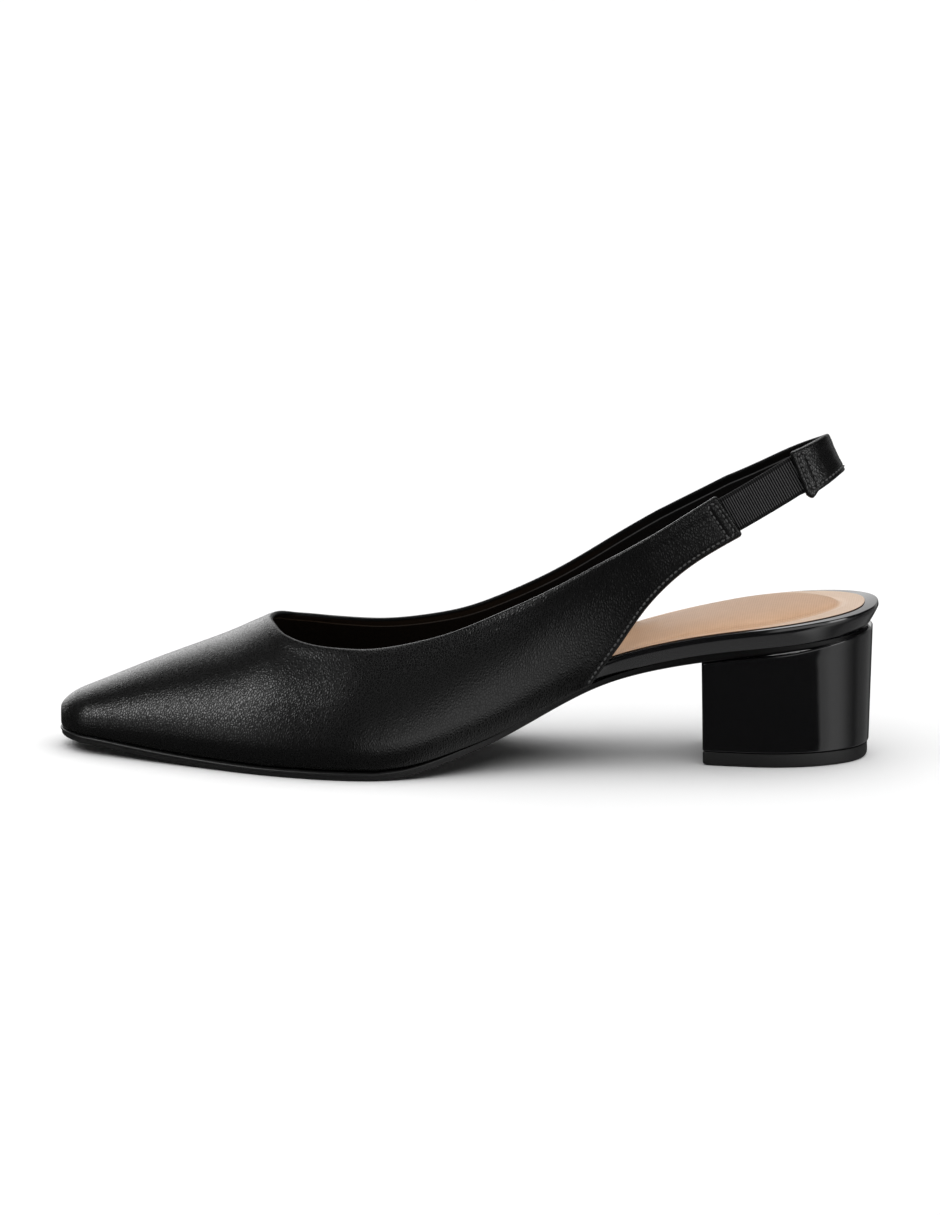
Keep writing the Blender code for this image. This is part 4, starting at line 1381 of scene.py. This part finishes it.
# The flange is painted a paler tan: painted sheen where it would catch the light
flange_sheen_tan = blend_colours(sock_tree, point_mark(sock_tree, "flange"), tan, SOCK_FLANGE_SHEEN_TAN)
to_shader(sock_tree, "Base Color", flange_sheen_tan)
mottle_relief = add_relief(sock_tree, mottle, MOTTLE_DEPTH)
to_shader(sock_tree, "Normal", add_relief(sock_tree, woven, WEAVE_DEPTH, mottle_relief))
to_shader(sock_tree, "Roughness", between(sock_tree, woven, *WEAVE_ROUGHNESS))
cut_edge, cut_tree = new_finish("sock_cut_edge", SOCK_EDGE_BROWN, {"IOR": 1.4})
cut_fibres = noise(cut_tree, object_place(cut_tree), CUT_FIBRE, 3.0)
to_shader(cut_tree, "Normal", add_relief(cut_tree, cut_fibres, CUT_FIBRE_DEPTH))
to_shader(cut_tree, "Roughness", between(cut_tree, cut_fibres, *CUT_ROUGHNESS))

sock = make_piece("sock_lining", *slab(sock_levels, sock_cover), sock_finish, cut_edge)
for face in sock.data.polygons:
    face.material_index = int(abs(face.normal.z) < 0.5)
sock_spots = np.array([vertex.co for vertex in sock.data.vertices]) / MM - frame_shift
sock_sides = [np.interp(sock_spots[:, 0], *edge.T) for edge in outline(sock_levels[-1][0])]
off_middle = sock_spots[:, 1] - sum(sock_sides) / 2
pressed = cushion_share(sock_spots[:, 0], off_middle, np.abs(sock_sides[1] - sock_sides[0]) / 2)
flange = smooth_step((pressed - FLANGE_START) / FLANGE_FADE)
flange *= smooth_step((sock_spots[:, 0] - SOCK_DOME_PEAK) / FLANGE_RUN)
mark_points(sock.data, "flange", flange)
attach(sock, shoe_body)
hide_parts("sock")


# Studio: a wide white floor, an even soft light from above, and white screens with soft edges round the
# shoe, which only the leather, the patent and the rubber mirror. The camera stands far off with a long
# lens, a little above the shoe and on its outer side, and leans a little.
FLOOR_SIZE = 30.0
FLOOR_WHITE = (0.9, 0.9, 0.9)
SKY_STRENGTH = 3.7
SKY_SPREAD = 110.0
ROOM_GLOW = 0.03
# Azimuths count from the front to the right, elevations from the horizon; the fades are the soft edges
SCREENS = (
    # from, to, fade before, fade after, lowest, highest, fade, glow
    (-75.0, -63.0, 9.0, 12.0, 31.0, 49.0, 14.0, 5.4),
    (-72.0, -54.0, 12.0, 14.0, 6.0, 18.0, 14.0, 0.8),
    (199.0, 216.0, 22.0, 11.0, 4.0, 29.0, 12.0, 2.0),
    (156.0, 190.0, 14.0, 14.0, 4.0, 40.0, 14.0, 0.3),
    (140.0, 200.0, 20.0, 14.0, 50.0, 80.0, 10.0, 3.2),
    (8.0, 42.0, 14.0, 14.0, 2.0, 24.0, 12.0, 0.92),
    (-2.0, 30.0, 10.0, 14.0, 26.0, 60.0, 14.0, 0.1),
    (54.0, 67.0, 8.0, 10.0, 8.0, 26.0, 8.0, 3.0),
    (45.0, 58.0, 5.0, 50.0, -60.0, 0.0, 10.0, 0.42),
    (58.0, 66.0, 12.0, 22.0, -60.0, 0.0, 10.0, 0.13),
    (112.0, 150.0, 18.0, 20.0, -60.0, 0.0, 10.0, 0.13),
    (-120.0, 120.0, 30.0, 30.0, -89.0, -66.0, 10.0, 0.24),
)
IMAGE_WIDTH = 940
IMAGE_HEIGHT = 1215
CAMERA_AZIMUTH = 5.0
CAMERA_ELEVATION = 13.0
CAMERA_ROLL = 0.55
CAMERA_DISTANCE = 4.0
PIXELS_PER_METRE = 3200.0
SHOE_PLACE = (0.0001, 0.0037, 0.0)
SHOE_PIXEL = (468.6, 749.4)
SENSOR_WIDTH = 36.0

floor_finish, _ = new_finish("white_floor", FLOOR_WHITE, {"Roughness": 0.9})
floor_mesh = bpy.data.meshes.new("floor")
far = FLOOR_SIZE / 2
floor_mesh.from_pydata([(-far, -far, 0), (far, -far, 0), (far, far, 0), (-far, far, 0)], [], [(0, 1, 2, 3)])
floor_mesh.materials.append(floor_finish)
floor = add_object("floor", floor_mesh)
floor.visible_glossy = False
floor.visible_shadow = False

world = bpy.data.worlds.new("studio")
bpy.context.scene.world = world
world.use_nodes = True
world.cycles_visibility.diffuse = False
room = world.node_tree
bpy.context.scene.view_settings.view_transform = "Standard"

looking = add_node(room, "ShaderNodeTexCoord", {}).outputs["Generated"]
looking = add_node(room, "ShaderNodeSeparateXYZ", {"Vector": looking}).outputs
towards_front = calculate(room, "MULTIPLY", looking["Y"], -1.0)
ray_azimuth = calculate(room, "DEGREES", calculate(room, "ARCTAN2", looking["X"], towards_front))
ray_elevation = calculate(room, "DEGREES", calculate(room, "ARCSINE", looking["Z"]))
glow = ROOM_GLOW
for start, end, fade_before, fade_after, lowest, highest, fade, brightness in SCREENS:
    half = (end - start) / 2
    off_middle = calculate(room, "SUBTRACT", ray_azimuth, (start + end) / 2)
    off_middle = calculate(room, "WRAP", off_middle, 180.0, -180.0)
    screen = brightness
    for value, dark, bright in (
        (off_middle, -half - fade_before, -half),
        (off_middle, half + fade_after, half),
        (ray_elevation, lowest - fade, lowest),
        (ray_elevation, highest + fade, highest),
    ):
        soft_edge = between(room, value, 0.0, 1.0, dark, bright, soft=True)
        screen = calculate(room, "MULTIPLY", soft_edge, screen)
    glow = calculate(room, "ADD", screen, glow)
room.links.new(glow, room.nodes["Background"].inputs["Strength"])
room.nodes["Background"].inputs["Color"].default_value = (1.0, 1.0, 1.0, 1.0)


def direction(azimuth, elevation):
    """Unit vector towards an azimuth, counted from the front to the right, and an elevation."""
    azimuth, elevation = math.radians(azimuth), math.radians(elevation)
    level = math.cos(elevation)
    return Vector((math.sin(azimuth) * level, -math.cos(azimuth) * level, math.sin(elevation)))


sky_light = bpy.data.lights.new("soft_sky", "SUN")
sky_light.energy = SKY_STRENGTH
sky_light.angle = math.radians(SKY_SPREAD)
sky = add_object("soft_sky", sky_light)
sky.visible_camera = False
sky.visible_glossy = False

roll = math.radians(CAMERA_ROLL)
back = direction(CAMERA_AZIMUTH, CAMERA_ELEVATION)
level_right = direction(CAMERA_AZIMUTH + 90.0, 0.0)
level_up = back.cross(level_right)
right = math.cos(roll) * level_right - math.sin(roll) * level_up
up = math.sin(roll) * level_right + math.cos(roll) * level_up
eye = Vector(SHOE_PLACE) + back * CAMERA_DISTANCE
offset = (IMAGE_WIDTH / 2 - SHOE_PIXEL[0], SHOE_PIXEL[1] - IMAGE_HEIGHT / 2)
aim = Vector(SHOE_PLACE) + (right * offset[0] + up * offset[1]) / PIXELS_PER_METRE
back = (eye - aim).normalized()
right = up.cross(back).normalized()
up = back.cross(right)
camera_data = bpy.data.cameras.new("camera")
camera_data.sensor_fit = "HORIZONTAL"
camera_data.sensor_width = SENSOR_WIDTH
camera_data.lens = PIXELS_PER_METRE * CAMERA_DISTANCE * SENSOR_WIDTH / IMAGE_WIDTH
camera = add_object("camera", camera_data)
camera.matrix_world = Matrix.Translation(eye) @ Matrix((right, up, back)).transposed().to_4x4()
bpy.context.scene.camera = camera
